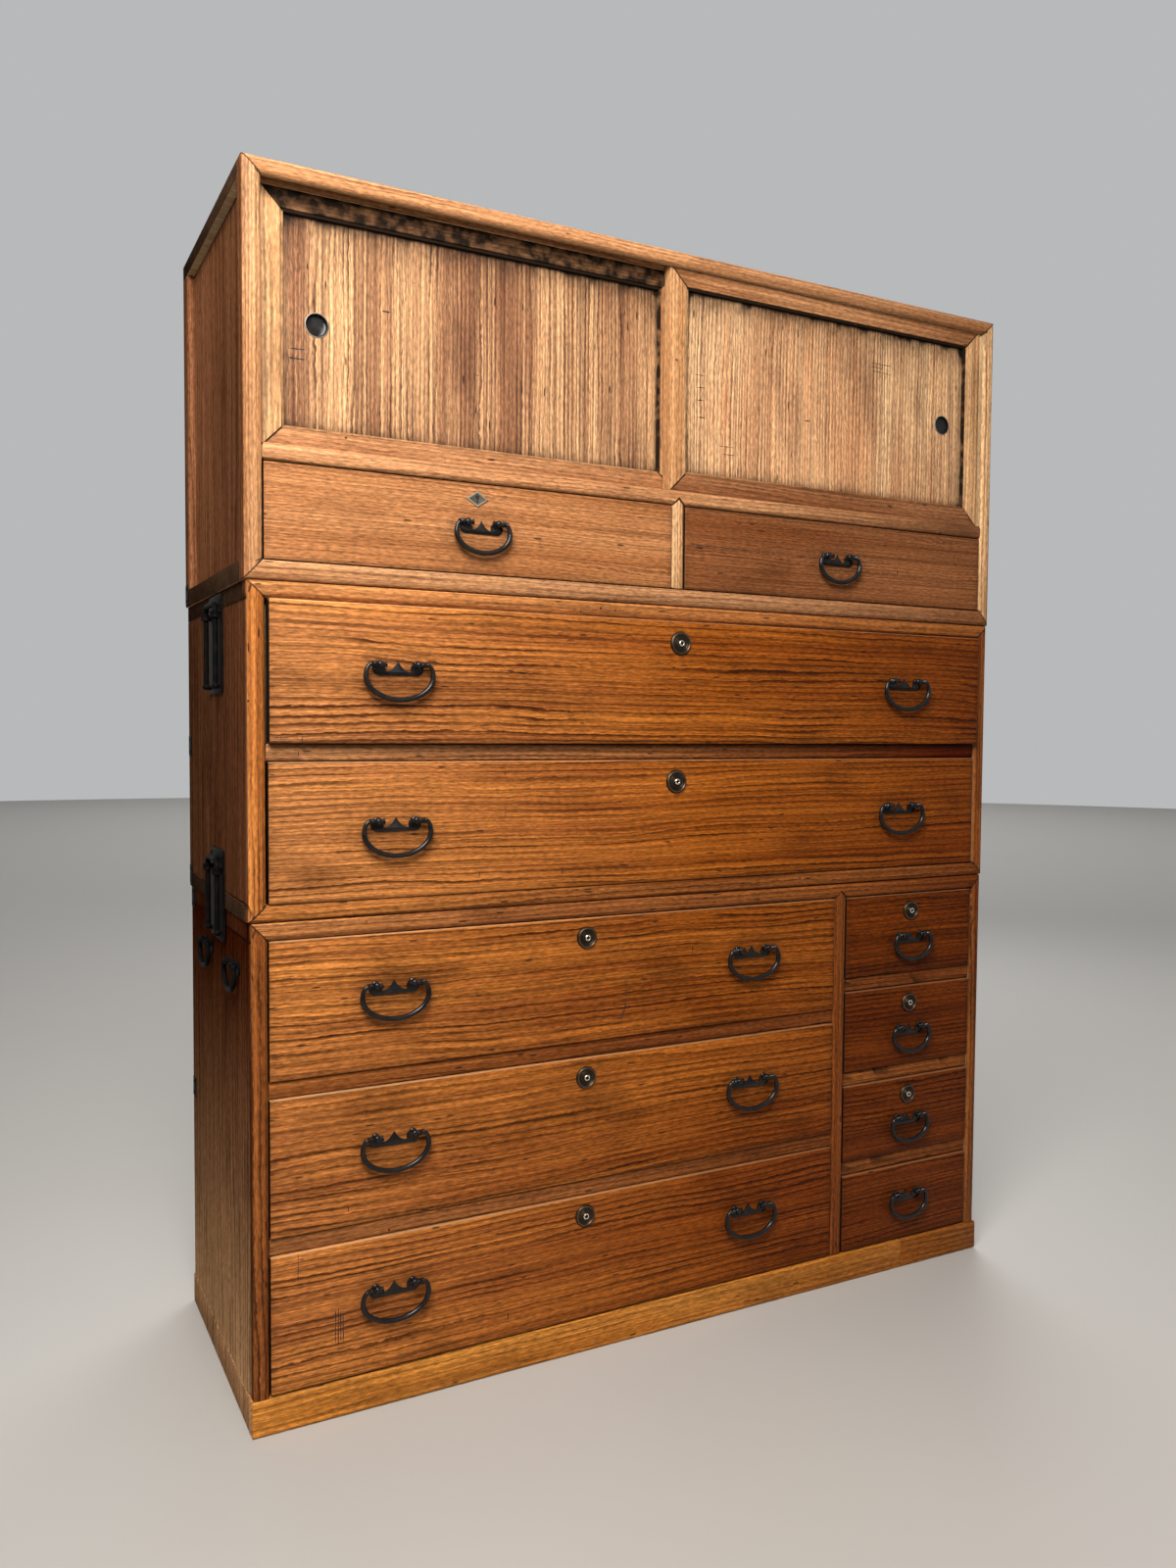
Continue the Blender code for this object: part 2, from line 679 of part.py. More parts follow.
    for i, (floor, opening) in enumerate(zip(small_floors, small_openings)):
        is_last = i == len(small_openings) - 1
        raise_z = LAST_PULL_RAISE if is_last else SMALL_PULL_RAISE
        fittings = [Fitting(SMALL_MOUNT, 0.0, raise_z)]
        if not is_last:
            fittings.append(Fitting(LOWER_LOCK, 0.0, opening / 2 - LOWER_LOCK_DROP))
        box_name = f"small_drawer_{i + 1}"
        owner = drawer(box_name, case, small_span, floor, opening, SLIDE_GAP, fittings)
        bail(f"{box_name}_bail", owner, SMALL_BAIL, 0.0, raise_z)


def bar_plate(half, bar):
    """Backing plate of a carrying bar with two guide collars, on the left side of the case."""
    y_low = BAR_PLATE_Y - BAR_PLATE_DEPTH / 2
    y_high = y_low + BAR_PLATE_DEPTH
    low = bar.plate_low
    high = low + bar.plate_height
    plate = box((-half - BAR_PLATE_THICKNESS, y_low, low), (-half - JOINT_GAP, y_high, high))
    seat_low = max(low, MIDDLE_BOTTOM) + EMBED
    seat_high = min(high, MIDDLE_HEIGHT - MIDDLE_TOP) - EMBED
    seat_out = -half - BAR_PLATE_THICKNESS / 2
    plate = join(plate, box((seat_out, y_low + EMBED, seat_low), (EMBED - half, y_high - EMBED, seat_high)))
    collar_top = high - BAR_TOP_DROP - BAR_BEND - JOINT_GAP
    for sign in (-1, 1):
        place = (-half - BAR_STANDOFF, BAR_PLATE_Y + sign * BAR_LEG_SPACING / 2, collar_top)
        collar = moved(cylinder(COLLAR_RADIUS, -COLLAR_HEIGHT, 0.0, COLLAR_SIDES), place)
        bore = moved(cylinder(COLLAR_BORE, -COLLAR_HEIGHT - CLEAR, CLEAR, COLLAR_SIDES), place)
        plate = cut(join(plate, collar), bore)
    return painted(plate, IRON)


def carrying_bar_curve(name, bar):
    """A rod bent to an upside-down U with a knob on each leg. Its origin is the middle of its top."""
    half = BAR_LEG_SPACING / 2
    bend_steps = 4
    foot = BAR_RADIUS - bar.bar_height
    knob = foot + BAR_KNOB_LENGTH
    leg = [(half, foot, BAR_KNOB_RADIUS), (half, knob, BAR_KNOB_RADIUS)]
    leg.append((half, knob + JOINT_GAP, BAR_RADIUS))
    for i in range(bend_steps + 1):
        turn = math.pi / 2 * i / bend_steps
        leg.append((half - BAR_BEND * (1 - math.cos(turn)), BAR_BEND * (math.sin(turn) - 1), BAR_RADIUS))
    path = leg + [(-y, z, r) for y, z, r in leg[::-1]]
    return rod_curve(name, [(0.0, y, z, r) for y, z, r in path], BAR_RADIUS, 1)


def middle_section(case):
    half = MIDDLE_WIDTH / 2
    height = MIDDLE_HEIGHT - JOINT_GAP
    inner = half - MIDDLE_SIDE
    floor = MIDDLE_BOTTOM
    ceiling = height - MIDDLE_TOP
    bars = (("upper", UPPER_BAR, UPPER_BAR_ROD), ("lower", LOWER_BAR, LOWER_BAR_ROD))

    for hand, sign in (("left", -1), ("right", 1)):
        side = side_board(half, MIDDLE_SIDE, height, MIDDLE_TOP, MIDDLE_BOTTOM)
        side = join(side, *[bar_plate(half, bar) for _, bar, _ in bars])
        side = mirrored(side) if sign > 0 else side
        piece(f"middle_{hand}_side", side, case, SIDE_WOOD)
        for level, bar, rod in bars:
            top = bar.plate_low + bar.plate_height - BAR_TOP_DROP
            place = (sign * (half + BAR_STANDOFF), BAR_PLATE_Y, top)
            piece(f"{hand}_carrying_bar_{level}", rod, case, BLACK_IRON, place)

    piece("middle_top", cross_board(half, MIDDLE_TOP, ceiling, height, MIDDLE_SIDE, True), case, FRAME_WOOD)
    bottom = cross_board(half, MIDDLE_BOTTOM, 0.0, floor, MIDDLE_SIDE, False)
    piece("middle_bottom", bottom, case, FRAME_WOOD)
    piece("middle_back", back_panel(half, MIDDLE_SIDE, floor, ceiling), case, INNER_WOOD)

    opening = (ceiling - floor - RAIL_HEIGHT) / 2
    rail_top = floor + opening + RAIL_HEIGHT
    piece("middle_rail", rail_board(-inner + JOINT_GAP, inner - JOINT_GAP, rail_top), case, FRAME_WOOD)
    fittings = [
        Fitting(LARGE_MOUNT, -MIDDLE_PULL_X, MIDDLE_PULL_RAISE),
        Fitting(LARGE_MOUNT, MIDDLE_PULL_X, MIDDLE_PULL_RAISE),
        Fitting(MIDDLE_LOCK, 0.0, opening / 2 - MIDDLE_LOCK_DROP),
    ]
    for i, (low, proud) in enumerate(((rail_top, PROUD_DRAWER), (floor, 0.0)), start=1):
        box_name = f"middle_drawer_{i}"
        owner = drawer(box_name, case, (-inner, inner), low, opening, MIDDLE_SLIDE_GAP, fittings, proud)
        bail(f"{box_name}_bail_left", owner, LARGE_BAIL, -MIDDLE_PULL_X, MIDDLE_PULL_RAISE)
        bail(f"{box_name}_bail_right", owner, LARGE_BAIL, MIDDLE_PULL_X, MIDDLE_PULL_RAISE)


def grooves(half, low, high):
    """Cutters for the two door tracks, front and rear."""
    tracks = []
    for front in (FRONT_TRACK, FRONT_TRACK + TRACK_SPACING):
        back = front + DOOR_THICKNESS + TRACK_PLAY
        tracks.append(box((-half, front - TRACK_PLAY, low), (half, back, high)))
    return tracks


def door_panel(width, height, cup_x):
    """Framed door with a sunk panel, a stepped bead round it and a round finger cup."""
    half_w = width / 2
    mesh = box((-half_w, 0.0, 0.0), (half_w, DOOR_THICKNESS, height))
    for inset, sink in ((DOOR_FRAME - DOOR_BEAD, DOOR_BEAD_DEPTH), (DOOR_FRAME, DOOR_PANEL_SINK)):
        mesh = cut(mesh, box((inset - half_w, -CLEAR, inset), (half_w - inset, sink, height - inset)))
    place = (cup_x, DOOR_PANEL_SINK, height / 2)
    rim = painted(moved(cylinder(CUP_RADIUS, -EMBED, CUP_RISE, CUP_SIDES), place, FACE_FRONT), IRON)
    hollow = cylinder(CUP_RADIUS - CUP_RIM, CUP_RISE - CUP_DEPTH, CLEAR, CUP_SIDES)
    return cut(join(mesh, rim), painted(moved(hollow, place, FACE_FRONT), IRON))


def upper_section(case):
    half = UPPER_WIDTH / 2
    height = UPPER_HEIGHT
    inner = half - UPPER_SIDE
    sill_low = UPPER_BOTTOM + UPPER_DRAWER_OPENING
    sill_high = sill_low + SILL
    ceiling = height - UPPER_TOP

    for hand, flip in (("left", False), ("right", True)):
        side = side_board(half, UPPER_SIDE, height, UPPER_TOP, UPPER_BOTTOM)
        recess = box(
            (-half - CLEAR, FRONT_POST, -CLEAR),
            (-half + PANEL_RECESS, CASE_DEPTH - BACK_POST, height + CLEAR),
        )
        side = cut(side, recess)
        side = mirrored(side) if flip else side
        piece(f"upper_{hand}_side", side, case, SIDE_WOOD)

    top = cross_board(half, UPPER_TOP, ceiling, height, UPPER_SIDE, True)
    top = cut(top, *grooves(inner, ceiling - CLEAR, ceiling + TOP_GROOVE))
    piece("upper_top", top, case, FRAME_WOOD)
    bottom = cross_board(half, UPPER_BOTTOM, 0.0, UPPER_BOTTOM, UPPER_SIDE, False)
    piece("upper_bottom", bottom, case, FRAME_WOOD)
    piece("upper_back", back_panel(half, UPPER_SIDE, UPPER_BOTTOM, ceiling), case, INNER_WOOD)

    reach = inner - JOINT_GAP
    sill = box((-reach, 0.0, sill_low), (reach, INNER_DEPTH, sill_high), "x", FRONT_ROUND)
    sill = cut(sill, *grooves(inner + CLEAR, sill_high - SILL_GROOVE, sill_high + CLEAR))
    piece("upper_sill", cut(sill, gable_notch(0.0, UPPER_DIVIDER, sill_low)), case, FRAME_WOOD)
    divider = divider_board(0.0, UPPER_DIVIDER, UPPER_BOTTOM + JOINT_GAP, sill_low)
    piece("upper_divider", divider, case, FRAME_WOOD)

    door_low = sill_high - SILL_GROOVE + JOINT_GAP
    door_height = ceiling + TOP_GROOVE - DOOR_LIFT - door_low
    door_width = inner - DOOR_SIDE_GAP + DOOR_OVERLAP / 2
    for hand, sign, track in (("left", -1, FRONT_TRACK + TRACK_SPACING), ("right", 1, FRONT_TRACK)):
        mesh = door_panel(door_width, door_height, sign * (door_width / 2 - CUP_INSET))
        centre_x = sign * (inner - DOOR_SIDE_GAP - door_width / 2)
        piece(f"{hand}_door", mesh, case, FRAME_WOOD, (centre_x, track, door_low))

    for hand, sign, pull_x in (("left", -1, UPPER_LEFT_PULL_X), ("right", 1, UPPER_RIGHT_PULL_X)):
        span = (-inner, -UPPER_DIVIDER / 2) if sign < 0 else (UPPER_DIVIDER / 2, inner)
        fittings = [Fitting(SMALL_MOUNT, pull_x, UPPER_PULL_RAISE)]
        if sign < 0:
            fittings.append(Fitting(diamond_plate(), DIAMOND_X, UPPER_DRAWER_OPENING / 2 - DIAMOND_DROP))
        box_name = f"upper_{hand}_drawer"
        owner = drawer(box_name, case, span, UPPER_BOTTOM, UPPER_DRAWER_OPENING, SLIDE_GAP, fittings)
        bail(f"{box_name}_bail", owner, SMALL_BAIL, pull_x, UPPER_PULL_RAISE)


LARGE_MOUNT = pull_mount(LARGE_PULL)
SMALL_MOUNT = pull_mount(SMALL_PULL)
SIDE_MOUNT = pull_mount(SIDE_PULL)
MIDDLE_LOCK = lock_plate(MIDDLE_LOCK_RADIUS)
LOWER_LOCK = lock_plate(LOWER_LOCK_RADIUS)
LARGE_BAIL = bail_curve("large_bail", LARGE_PULL)
SMALL_BAIL = bail_curve("small_bail", SMALL_PULL)
SIDE_BAIL = bail_curve("side_bail", SIDE_PULL)
UPPER_BAR_ROD = carrying_bar_curve("upper_bar_rod", UPPER_BAR)
LOWER_BAR_ROD = carrying_bar_curve("lower_bar_rod", LOWER_BAR)

chest = empty("chest_front", None, (0.0, FRONT_Y, 0.0))
lower_section(empty("lower_case", chest, (0.0, 0.0, 0.0)))
middle_section(empty("middle_case", chest, (0.0, 0.0, LOWER_HEIGHT)))
upper_section(empty("upper_case", chest, (0.0, 0.0, LOWER_HEIGHT + MIDDLE_HEIGHT)))
bpy.context.view_layer.update()
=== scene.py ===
# %% [markdown]
# # Dressing a kimono chest
# The chest is three wooden cases that stand on each other, made for folded garments: a lower case with
# seven drawers, a middle case with two wide drawers, and an upper case with two sliding doors over two
# drawers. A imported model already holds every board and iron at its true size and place, so the lesson
# starts by loading it as a fixed frame. Each later step makes one kind of piece finer. The piece then
# rides on the body that it belongs to, so that it moves when a drawer is pulled.

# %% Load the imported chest
import json
import math
import random

import bmesh
import bpy
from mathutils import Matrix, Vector

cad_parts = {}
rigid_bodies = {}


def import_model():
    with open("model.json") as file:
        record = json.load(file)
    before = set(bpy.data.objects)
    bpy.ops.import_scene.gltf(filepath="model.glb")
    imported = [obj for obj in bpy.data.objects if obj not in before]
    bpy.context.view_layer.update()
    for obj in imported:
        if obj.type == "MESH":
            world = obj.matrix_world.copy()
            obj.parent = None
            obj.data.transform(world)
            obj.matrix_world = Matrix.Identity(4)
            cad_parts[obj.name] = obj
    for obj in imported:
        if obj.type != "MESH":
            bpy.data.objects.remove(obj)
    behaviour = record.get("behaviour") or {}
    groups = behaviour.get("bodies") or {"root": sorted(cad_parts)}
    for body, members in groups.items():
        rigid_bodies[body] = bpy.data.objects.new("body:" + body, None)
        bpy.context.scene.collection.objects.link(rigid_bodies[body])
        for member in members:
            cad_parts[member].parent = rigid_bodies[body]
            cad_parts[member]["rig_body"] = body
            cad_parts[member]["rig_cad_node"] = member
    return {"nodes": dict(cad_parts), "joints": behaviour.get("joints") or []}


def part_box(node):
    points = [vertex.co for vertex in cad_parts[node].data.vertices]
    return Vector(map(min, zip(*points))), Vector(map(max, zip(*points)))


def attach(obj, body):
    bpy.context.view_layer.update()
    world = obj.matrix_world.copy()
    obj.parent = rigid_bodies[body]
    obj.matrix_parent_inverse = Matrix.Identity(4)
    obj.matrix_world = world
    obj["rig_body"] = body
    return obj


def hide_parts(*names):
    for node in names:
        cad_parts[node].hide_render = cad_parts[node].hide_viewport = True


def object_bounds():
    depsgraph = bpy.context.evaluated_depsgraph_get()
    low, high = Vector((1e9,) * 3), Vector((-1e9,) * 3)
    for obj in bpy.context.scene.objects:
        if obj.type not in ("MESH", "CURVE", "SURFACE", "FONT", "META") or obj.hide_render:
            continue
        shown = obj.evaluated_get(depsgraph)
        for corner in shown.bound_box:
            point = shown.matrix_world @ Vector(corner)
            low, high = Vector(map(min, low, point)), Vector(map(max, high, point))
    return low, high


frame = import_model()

cad_low, cad_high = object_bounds()
MM = 0.001
print("packed chest, mm:", [round(side / MM) for side in cad_high - cad_low])

# %% [markdown]
# ## Camera
# The photograph was taken from the left of the chest at half its height, with a short lens. The place,
# the turn and the lens were found by fitting known corners of the chest to the picture, so they are
# typed in as they came out. Depth of field stays off and the lens isn't shifted.

# %% Set up the camera
CAMERA_PLACE = (-0.9113, -1.6446, 0.8740)
CAMERA_TURN = (87.447, -0.383, -27.841)
FOCAL_PIXELS, IMAGE_HEIGHT, SENSOR = 1215.4, 1600, 36.0

bpy.ops.object.select_all(action="DESELECT")
bpy.ops.object.camera_add(location=CAMERA_PLACE, rotation=[math.radians(angle) for angle in CAMERA_TURN])
camera = bpy.context.object
camera.name = "photo_camera"
camera.data.sensor_width = SENSOR
camera.data.lens = SENSOR * FOCAL_PIXELS / IMAGE_HEIGHT
bpy.context.scene.camera = camera
print("lens, mm:", round(camera.data.lens, 2))

# %% [markdown]
# ## Selecting by code
# By hand, a modeller clicks the pieces, faces and edges that the next tool works on. A script selects
# them by their place or normal instead. An operator acts on all that is selected, and the loaded nodes
# are still selected, so everything is deselected before each step.

# %% Helpers that select
def only(*pieces):
    """Select these pieces and nothing else, with the first one active."""
    if bpy.context.mode != "OBJECT":
        bpy.ops.object.mode_set(mode="OBJECT")
    bpy.ops.object.select_all(action="DESELECT")
    for piece in pieces:
        piece.select_set(True)
    bpy.context.view_layer.objects.active = pieces[0] if pieces else None


def edit(piece):
    """Open a piece in edit mode with all of it selected."""
    only(piece)
    bpy.ops.object.mode_set(mode="EDIT")
    bpy.ops.mesh.select_mode(type="VERT")
    bpy.ops.mesh.select_all(action="SELECT")


def done():
    """Close edit mode."""
    bpy.ops.object.mode_set(mode="OBJECT")


def choose(piece, kind, test):
    """In edit mode, select the corners, edges or faces that pass a test. Returns how many do."""
    bpy.ops.mesh.select_mode(type=kind)
    bpy.ops.mesh.select_all(action="DESELECT")
    shape = bmesh.from_edit_mesh(piece.data)
    parts = {"VERT": shape.verts, "EDGE": shape.edges, "FACE": shape.faces}[kind]
    chosen = [part for part in parts if test(part)]
    for part in chosen:
        part.select_set(True)
    shape.select_flush_mode()
    bmesh.update_edit_mesh(piece.data)
    return len(chosen)


def apply_place(piece):
    """Put a piece's place, turn and size into its mesh, so that its object sits at the origin."""
    only(piece)
    bpy.ops.object.transform_apply(location=True, rotation=True, scale=True)


def modify(piece, kind, **settings):
    """Add a modifier with these settings and apply it."""
    only(piece)
    bpy.ops.object.modifier_add(type=kind)
    modifier = piece.modifiers[-1]
    for name, value in settings.items():
        setattr(modifier, name, value)
    bpy.ops.object.modifier_apply(modifier=modifier.name)


# %% [markdown]
# ## Mixing a finish
# A finish is a node tree: numbers that vary over the surface are added, multiplied and blended until
# they give a colour, a roughness and a height. Written out node by node this is long, so a small class
# lets the script do sums with such numbers directly, and each sum becomes one Math node.

# %% Helpers that mix finishes
class Amount:
    """A number that varies over the surface, as the output of a node."""

    def __init__(self, tree, socket):
        self.tree, self.socket = tree, socket

    def sum(self, operation, *others):
        """One Math node that works on this number and the others."""
        node = self.tree.nodes.new("ShaderNodeMath")
        node.operation = operation
        for slot, value in zip(node.inputs, (self, *others)):
            fill(self.tree, slot, value)
        return Amount(self.tree, node.outputs[0])

    def __add__(self, other):
        return self.sum("ADD", other)

    def __sub__(self, other):
        return self.sum("SUBTRACT", other)

    def __mul__(self, other):
        return self.sum("MULTIPLY", other)

    def __truediv__(self, other):
        return self.sum("DIVIDE", other)

    def steps(self, *stops):
        """Bend the number through stops of (in, out)."""
        node = self.tree.nodes.new("ShaderNodeValToRGB")
        marks = node.color_ramp.elements
        while len(marks) < len(stops):
            marks.new(0.5)
        for mark, (position, grey) in zip(marks, stops):
            mark.position, mark.color = position, (grey, grey, grey, 1)
        fill(self.tree, node.inputs[0], self)
        return Amount(self.tree, node.outputs[0])


def fill(tree, slot, value):
    """Link a varying amount to a socket, or set a plain number or colour on it."""
    if isinstance(value, Amount):
        tree.links.new(value.socket, slot)
    elif isinstance(value, tuple) and len(value) == 3 and slot.type == "RGBA":
        slot.default_value = (*value, 1)
    else:
        slot.default_value = value


class Finish:
    """A material whose colour, roughness and height are mixed from varying amounts."""

    def __init__(self, name, **constants):
        self.material = bpy.data.materials.new(name)
        self.material.use_nodes = True
        self.tree = self.material.node_tree
        self.shader = self.tree.nodes["Principled BSDF"]
        for socket, value in constants.items():
            fill(self.tree, self.shader.inputs[socket.replace("_", " ")], value)

    def node(self, kind, output, sockets, **fields):
        """Add a node with its fields and sockets filled in. Returns one of its outputs."""
        node = self.tree.nodes.new("ShaderNode" + kind)
        for name, value in fields.items():
            setattr(node, name, value)
        for name, value in sockets.items():
            fill(self.tree, node.inputs[name], value)
        return Amount(self.tree, node.outputs[output])

    def axes(self):
        """The place of a point on the piece, as three amounts in metres."""
        place = self.node("TexCoord", "Object", {})
        split = self.tree.nodes.new("ShaderNodeSeparateXYZ")
        fill(self.tree, split.inputs[0], place)
        return [Amount(self.tree, socket) for socket in split.outputs]

    def read(self, attribute):
        """What the mesh keeps under this name."""
        return self.node("Attribute", "Fac", {}, attribute_name=attribute)

    def noise(self, x, y, z, detail=2.0):
        """Soft clouds between 0 and 1."""
        place = self.node("CombineXYZ", 0, {"X": x, "Y": y, "Z": z})
        return self.node("TexNoise", "Fac", {"Vector": place, "Scale": 1.0, "Detail": detail})

    def dice(self, number):
        """A random amount between 0 and 1 that belongs to a number."""
        return self.node("TexWhiteNoise", "Value", {"W": number}, noise_dimensions="1D")

    def blend(self, share, under, over, how="MIX"):
        """A share of one colour laid over another."""
        sockets = {0: share, 6: under, 7: over}
        return self.node("Mix", 2, sockets, data_type="RGBA", blend_type=how)

    def surface(self, colour, roughness, height, depth):
        """Connect the mixed colour, roughness and height to the shader."""
        bump = self.node("Bump", 0, {"Height": height, "Strength": 1.0, "Distance": depth})
        for socket, amount in (("Base Color", colour), ("Roughness", roughness), ("Normal", bump)):
            fill(self.tree, self.shader.inputs[socket], amount)
        return self.material


# %% [markdown]
# ## Wood
# The drawer fronts are wood with a strong, wavy figure: each year's growth fades from pale to dark and
# then stops sharply, so a line is soft on one side and crisp on the other. One recipe makes all the
# woods. It measures how far a point lies across the grain, lets that distance wander slowly and fray a
# little, and cuts it into years. Finer streaks, fibres, open pores and broad patches lie over the
# years, and pits and stains over all. Each mesh tells the recipe more through attributes, which hold one
# number for each corner: board shifts the figure, so that no two boards match; one pales the wood under
# its lines as a painted sheen; one pales an edge as a painted highlight; one darkens the wood as painted
# shade where less light falls, partly the wood's own darker tone; and one blackens dirt in the joints
# together with painted shade in gaps, beads and under overhangs.

# %% Recipe for wood
# The first colour below is the black that dirt and painted shade blend to; the second is the pale of the
# painted sheen and the painted highlights; DEEP is what painted shade darkens towards.
SOOT_AND_SHADE = (0.012, 0.007, 0.004)
SHEEN_COLOUR = (0.74, 0.43, 0.21)
DEEP, DEEP_SHARE = (0.20, 0.06, 0.0), 1.15
SEASON = ((0.0, 0.0), (0.34, 0.0), (0.62, 0.40), (0.78, 1.0), (0.94, 1.0), (1.0, 0.0))
PIT_SIZE, NICK_SIZE, WORM_SIZE, PIT_STRENGTH = 0.26, 0.16, 0.055, 0.8
GRAIN_DEPTH = 0.35 * MM


def wood(
        name, along, pale, rich, dark, year, wander, lines, gloss,
        streaks=0.45, pits=0.015, nicks=0.003, worm=0.0, shine=0.08):
    """Wood with its grain along X or Z. year is the width of a growth ring in metres."""
    finish = Finish(name, Specular_IOR_Level=shine)
    x, y, z = finish.axes()
    number = finish.read("board")
    length, across, depth = (x, z, y) if along == "X" else (z, x, y)
    length, across, depth = length + number * 1.9, across + number * 1.1, depth + number * 0.7

    def figure(stretch, fine, detail=2.0):
        return finish.noise(length * stretch, across * fine, depth * fine, detail)

    drift = (finish.noise(number * 9.0, across * 26.0, depth * 26.0) - 0.5) * 0.022
    slow = (figure(1.3, 4.0) - 0.5) * wander
    quick = (figure(10.0, 30.0) - 0.5) * 0.007 + (figure(90.0, 260.0, 3.0) - 0.5) * 0.0040
    across_grain = across + depth * 0.55 + drift + slow + quick

    def growth(width, least):
        """Lines that darken slowly and stop sharply, each with its own strength."""
        rings = across_grain / width
        season = rings.sum("FRACT").steps(*SEASON)
        return season * (finish.dice(rings.sum("FLOOR") + number * 37.0) * (1.0 - least) + least)

    line = growth(year, 0.50) * figure(6.0, 22.0).steps((0.34, 0.35), (0.54, 1.0))
    fine_line = growth(year * 0.37, 0.10)
    streak = figure(3.0, 330.0, 3.0).steps((0.38, 0.0), (0.66, 1.0))
    fibre = figure(110.0, 430.0, 3.0)
    patch = figure(2.0, 3.6, 3.0)
    band = figure(0.9, 48.0)
    pore = figure(90.0, 1500.0).steps((0.60, 0.0), (0.70, 1.0))
    stain = figure(5.0, 12.0, 5.0).steps((0.56, 0.0), (0.74, 1.0))
    colour = finish.blend((patch * 0.45 + band * 0.55).steps((0.40, 0.0), (0.60, 1.0)), pale, rich)
    # Painted sheen: a pale veil that stands in for light reflected off the finish.
    colour = finish.blend(finish.read("painted_sheen"), colour, SHEEN_COLOUR)
    colour = finish.blend(streak * streaks, colour, dark)
    colour = finish.blend(fine_line * (lines * 0.60), colour, dark)
    colour = finish.blend(line * lines, colour, dark)
    shade = fibre * 1.75 + finish.dice(number * 91.0) * 0.16 + 0.085
    colour = finish.blend(1.0, colour, shade, "MULTIPLY")
    colour = finish.blend(pore * 0.40, colour, dark)
    colour = finish.blend(stain * 0.50, colour, dark)
    # Painted highlight along edges that catch the light.
    colour = finish.blend(finish.read("painted_highlight"), colour, SHEEN_COLOUR)
    # Painted shade where less light falls, partly the wood's own darker tone.
    colour = finish.blend(finish.read("tone_and_shade") * DEEP_SHARE, colour, DEEP, "MULTIPLY")
    # Dirt in the joints, and painted shade in gaps, beads and under overhangs.
    grime_and_shade = finish.read("grime_and_shade") * (finish.noise(x * 60.0, y * 60.0, z * 60.0, 3.0) * 1.3 + 0.25)
    colour = finish.blend(grime_and_shade, colour, SOOT_AND_SHADE)
    height = fibre * 0.35 - line * 0.12 - pore * 0.5
    spots = (
        ((length * 55.0, across * 300.0, depth * 300.0), pits, PIT_SIZE),
        ((length * 210.0, across * 36.0, depth * 36.0), nicks, NICK_SIZE),
        ((x * 40.0, y * 40.0, z * 40.0), worm, WORM_SIZE))
    for (along_x, along_y, along_z), share, size in spots:
        if share:
            place = finish.node("CombineXYZ", 0, {"X": along_x, "Y": along_y, "Z": along_z})
            cell = {"Vector": place, "Scale": 1.0}
            away = finish.node("TexVoronoi", "Distance", cell)
            draw = finish.node("SeparateColor", "Red", {"Color": finish.node("TexVoronoi", "Color", cell)})
            near = away.steps((size, 1.0), (size * 1.5, 0.0))
            pit = near * draw.steps((0.999 - share, 0.0), (1.0 - share, 1.0))
            colour = finish.blend(pit * PIT_STRENGTH, colour, SOOT_AND_SHADE)
            height = height - pit * 2.0
    roughness = patch * 0.22 + pore * 0.2 + grime_and_shade * 0.3 + gloss
    return finish.surface(colour, roughness, height, GRAIN_DEPTH)


# %% Woods of the chest
DRAWER_WOOD = wood(
    "drawer_wood", "X", pale=(0.76, 0.240, 0.028), rich=(0.50, 0.130, 0.012),
    dark=(0.046, 0.009, 0.0012), year=0.0098, wander=0.060, lines=0.94, gloss=0.22)
# Painted shade: a darker copy of the drawer wood for the small drawers at the lower right, which get less
# light.
SHADED_DRAWER_WOOD = wood(
    "shaded_drawer_wood", "X", pale=(0.50, 0.130, 0.011), rich=(0.31, 0.070, 0.005),
    dark=(0.034, 0.007, 0.001), year=0.0080, wander=0.045, lines=0.90, gloss=0.22)
UPPER_DRAWER_WOOD = wood(
    "upper_drawer_wood", "X", pale=(0.58, 0.252, 0.096), rich=(0.42, 0.158, 0.052),
    dark=(0.070, 0.018, 0.005), year=0.0040, wander=0.036, lines=0.54, gloss=0.26)
PLINTH_WOOD = wood(
    "plinth_wood", "X", pale=(0.95, 0.400, 0.070), rich=(0.70, 0.250, 0.036),
    dark=(0.090, 0.026, 0.005), year=0.0085, wander=0.050, lines=0.60, gloss=0.30)
RAIL_WOOD = wood(
    "rail_wood", "X", pale=(0.70, 0.260, 0.062), rich=(0.42, 0.130, 0.026),
    dark=(0.050, 0.012, 0.003), year=0.0072, wander=0.030, lines=0.75, gloss=0.30, pits=0.03, worm=0.35)
POST_WOOD = wood(
    "post_wood", "Z", pale=(0.74, 0.275, 0.066), rich=(0.44, 0.138, 0.028),
    dark=(0.050, 0.012, 0.003), year=0.0072, wander=0.030, lines=0.75, gloss=0.30, pits=0.03, worm=0.35)
PALE_RAIL_WOOD = wood(
    "pale_rail_wood", "X", pale=(0.67, 0.335, 0.150), rich=(0.45, 0.185, 0.066),
    dark=(0.085, 0.026, 0.009), year=0.0060, wander=0.030, lines=0.58, gloss=0.30, pits=0.010, worm=0.10)
# Painted light: a paler copy of the pale rail wood for the upright fronts of the upper case and its door
# stiles.
LIT_POST_WOOD = wood(
    "lit_post_wood", "Z", pale=(0.92, 0.540, 0.260), rich=(0.64, 0.310, 0.125),
    dark=(0.085, 0.026, 0.009), year=0.0060, wander=0.030, lines=0.60, gloss=0.30, pits=0.010, worm=0.10)
DOOR_WOOD = wood(
    "door_wood", "Z", pale=(0.84, 0.470, 0.225), rich=(0.38, 0.170, 0.080),
    dark=(0.055, 0.021, 0.013), year=0.0068, wander=0.022, lines=0.92, gloss=0.26, streaks=0.66,
    pits=0.008, nicks=0.004)
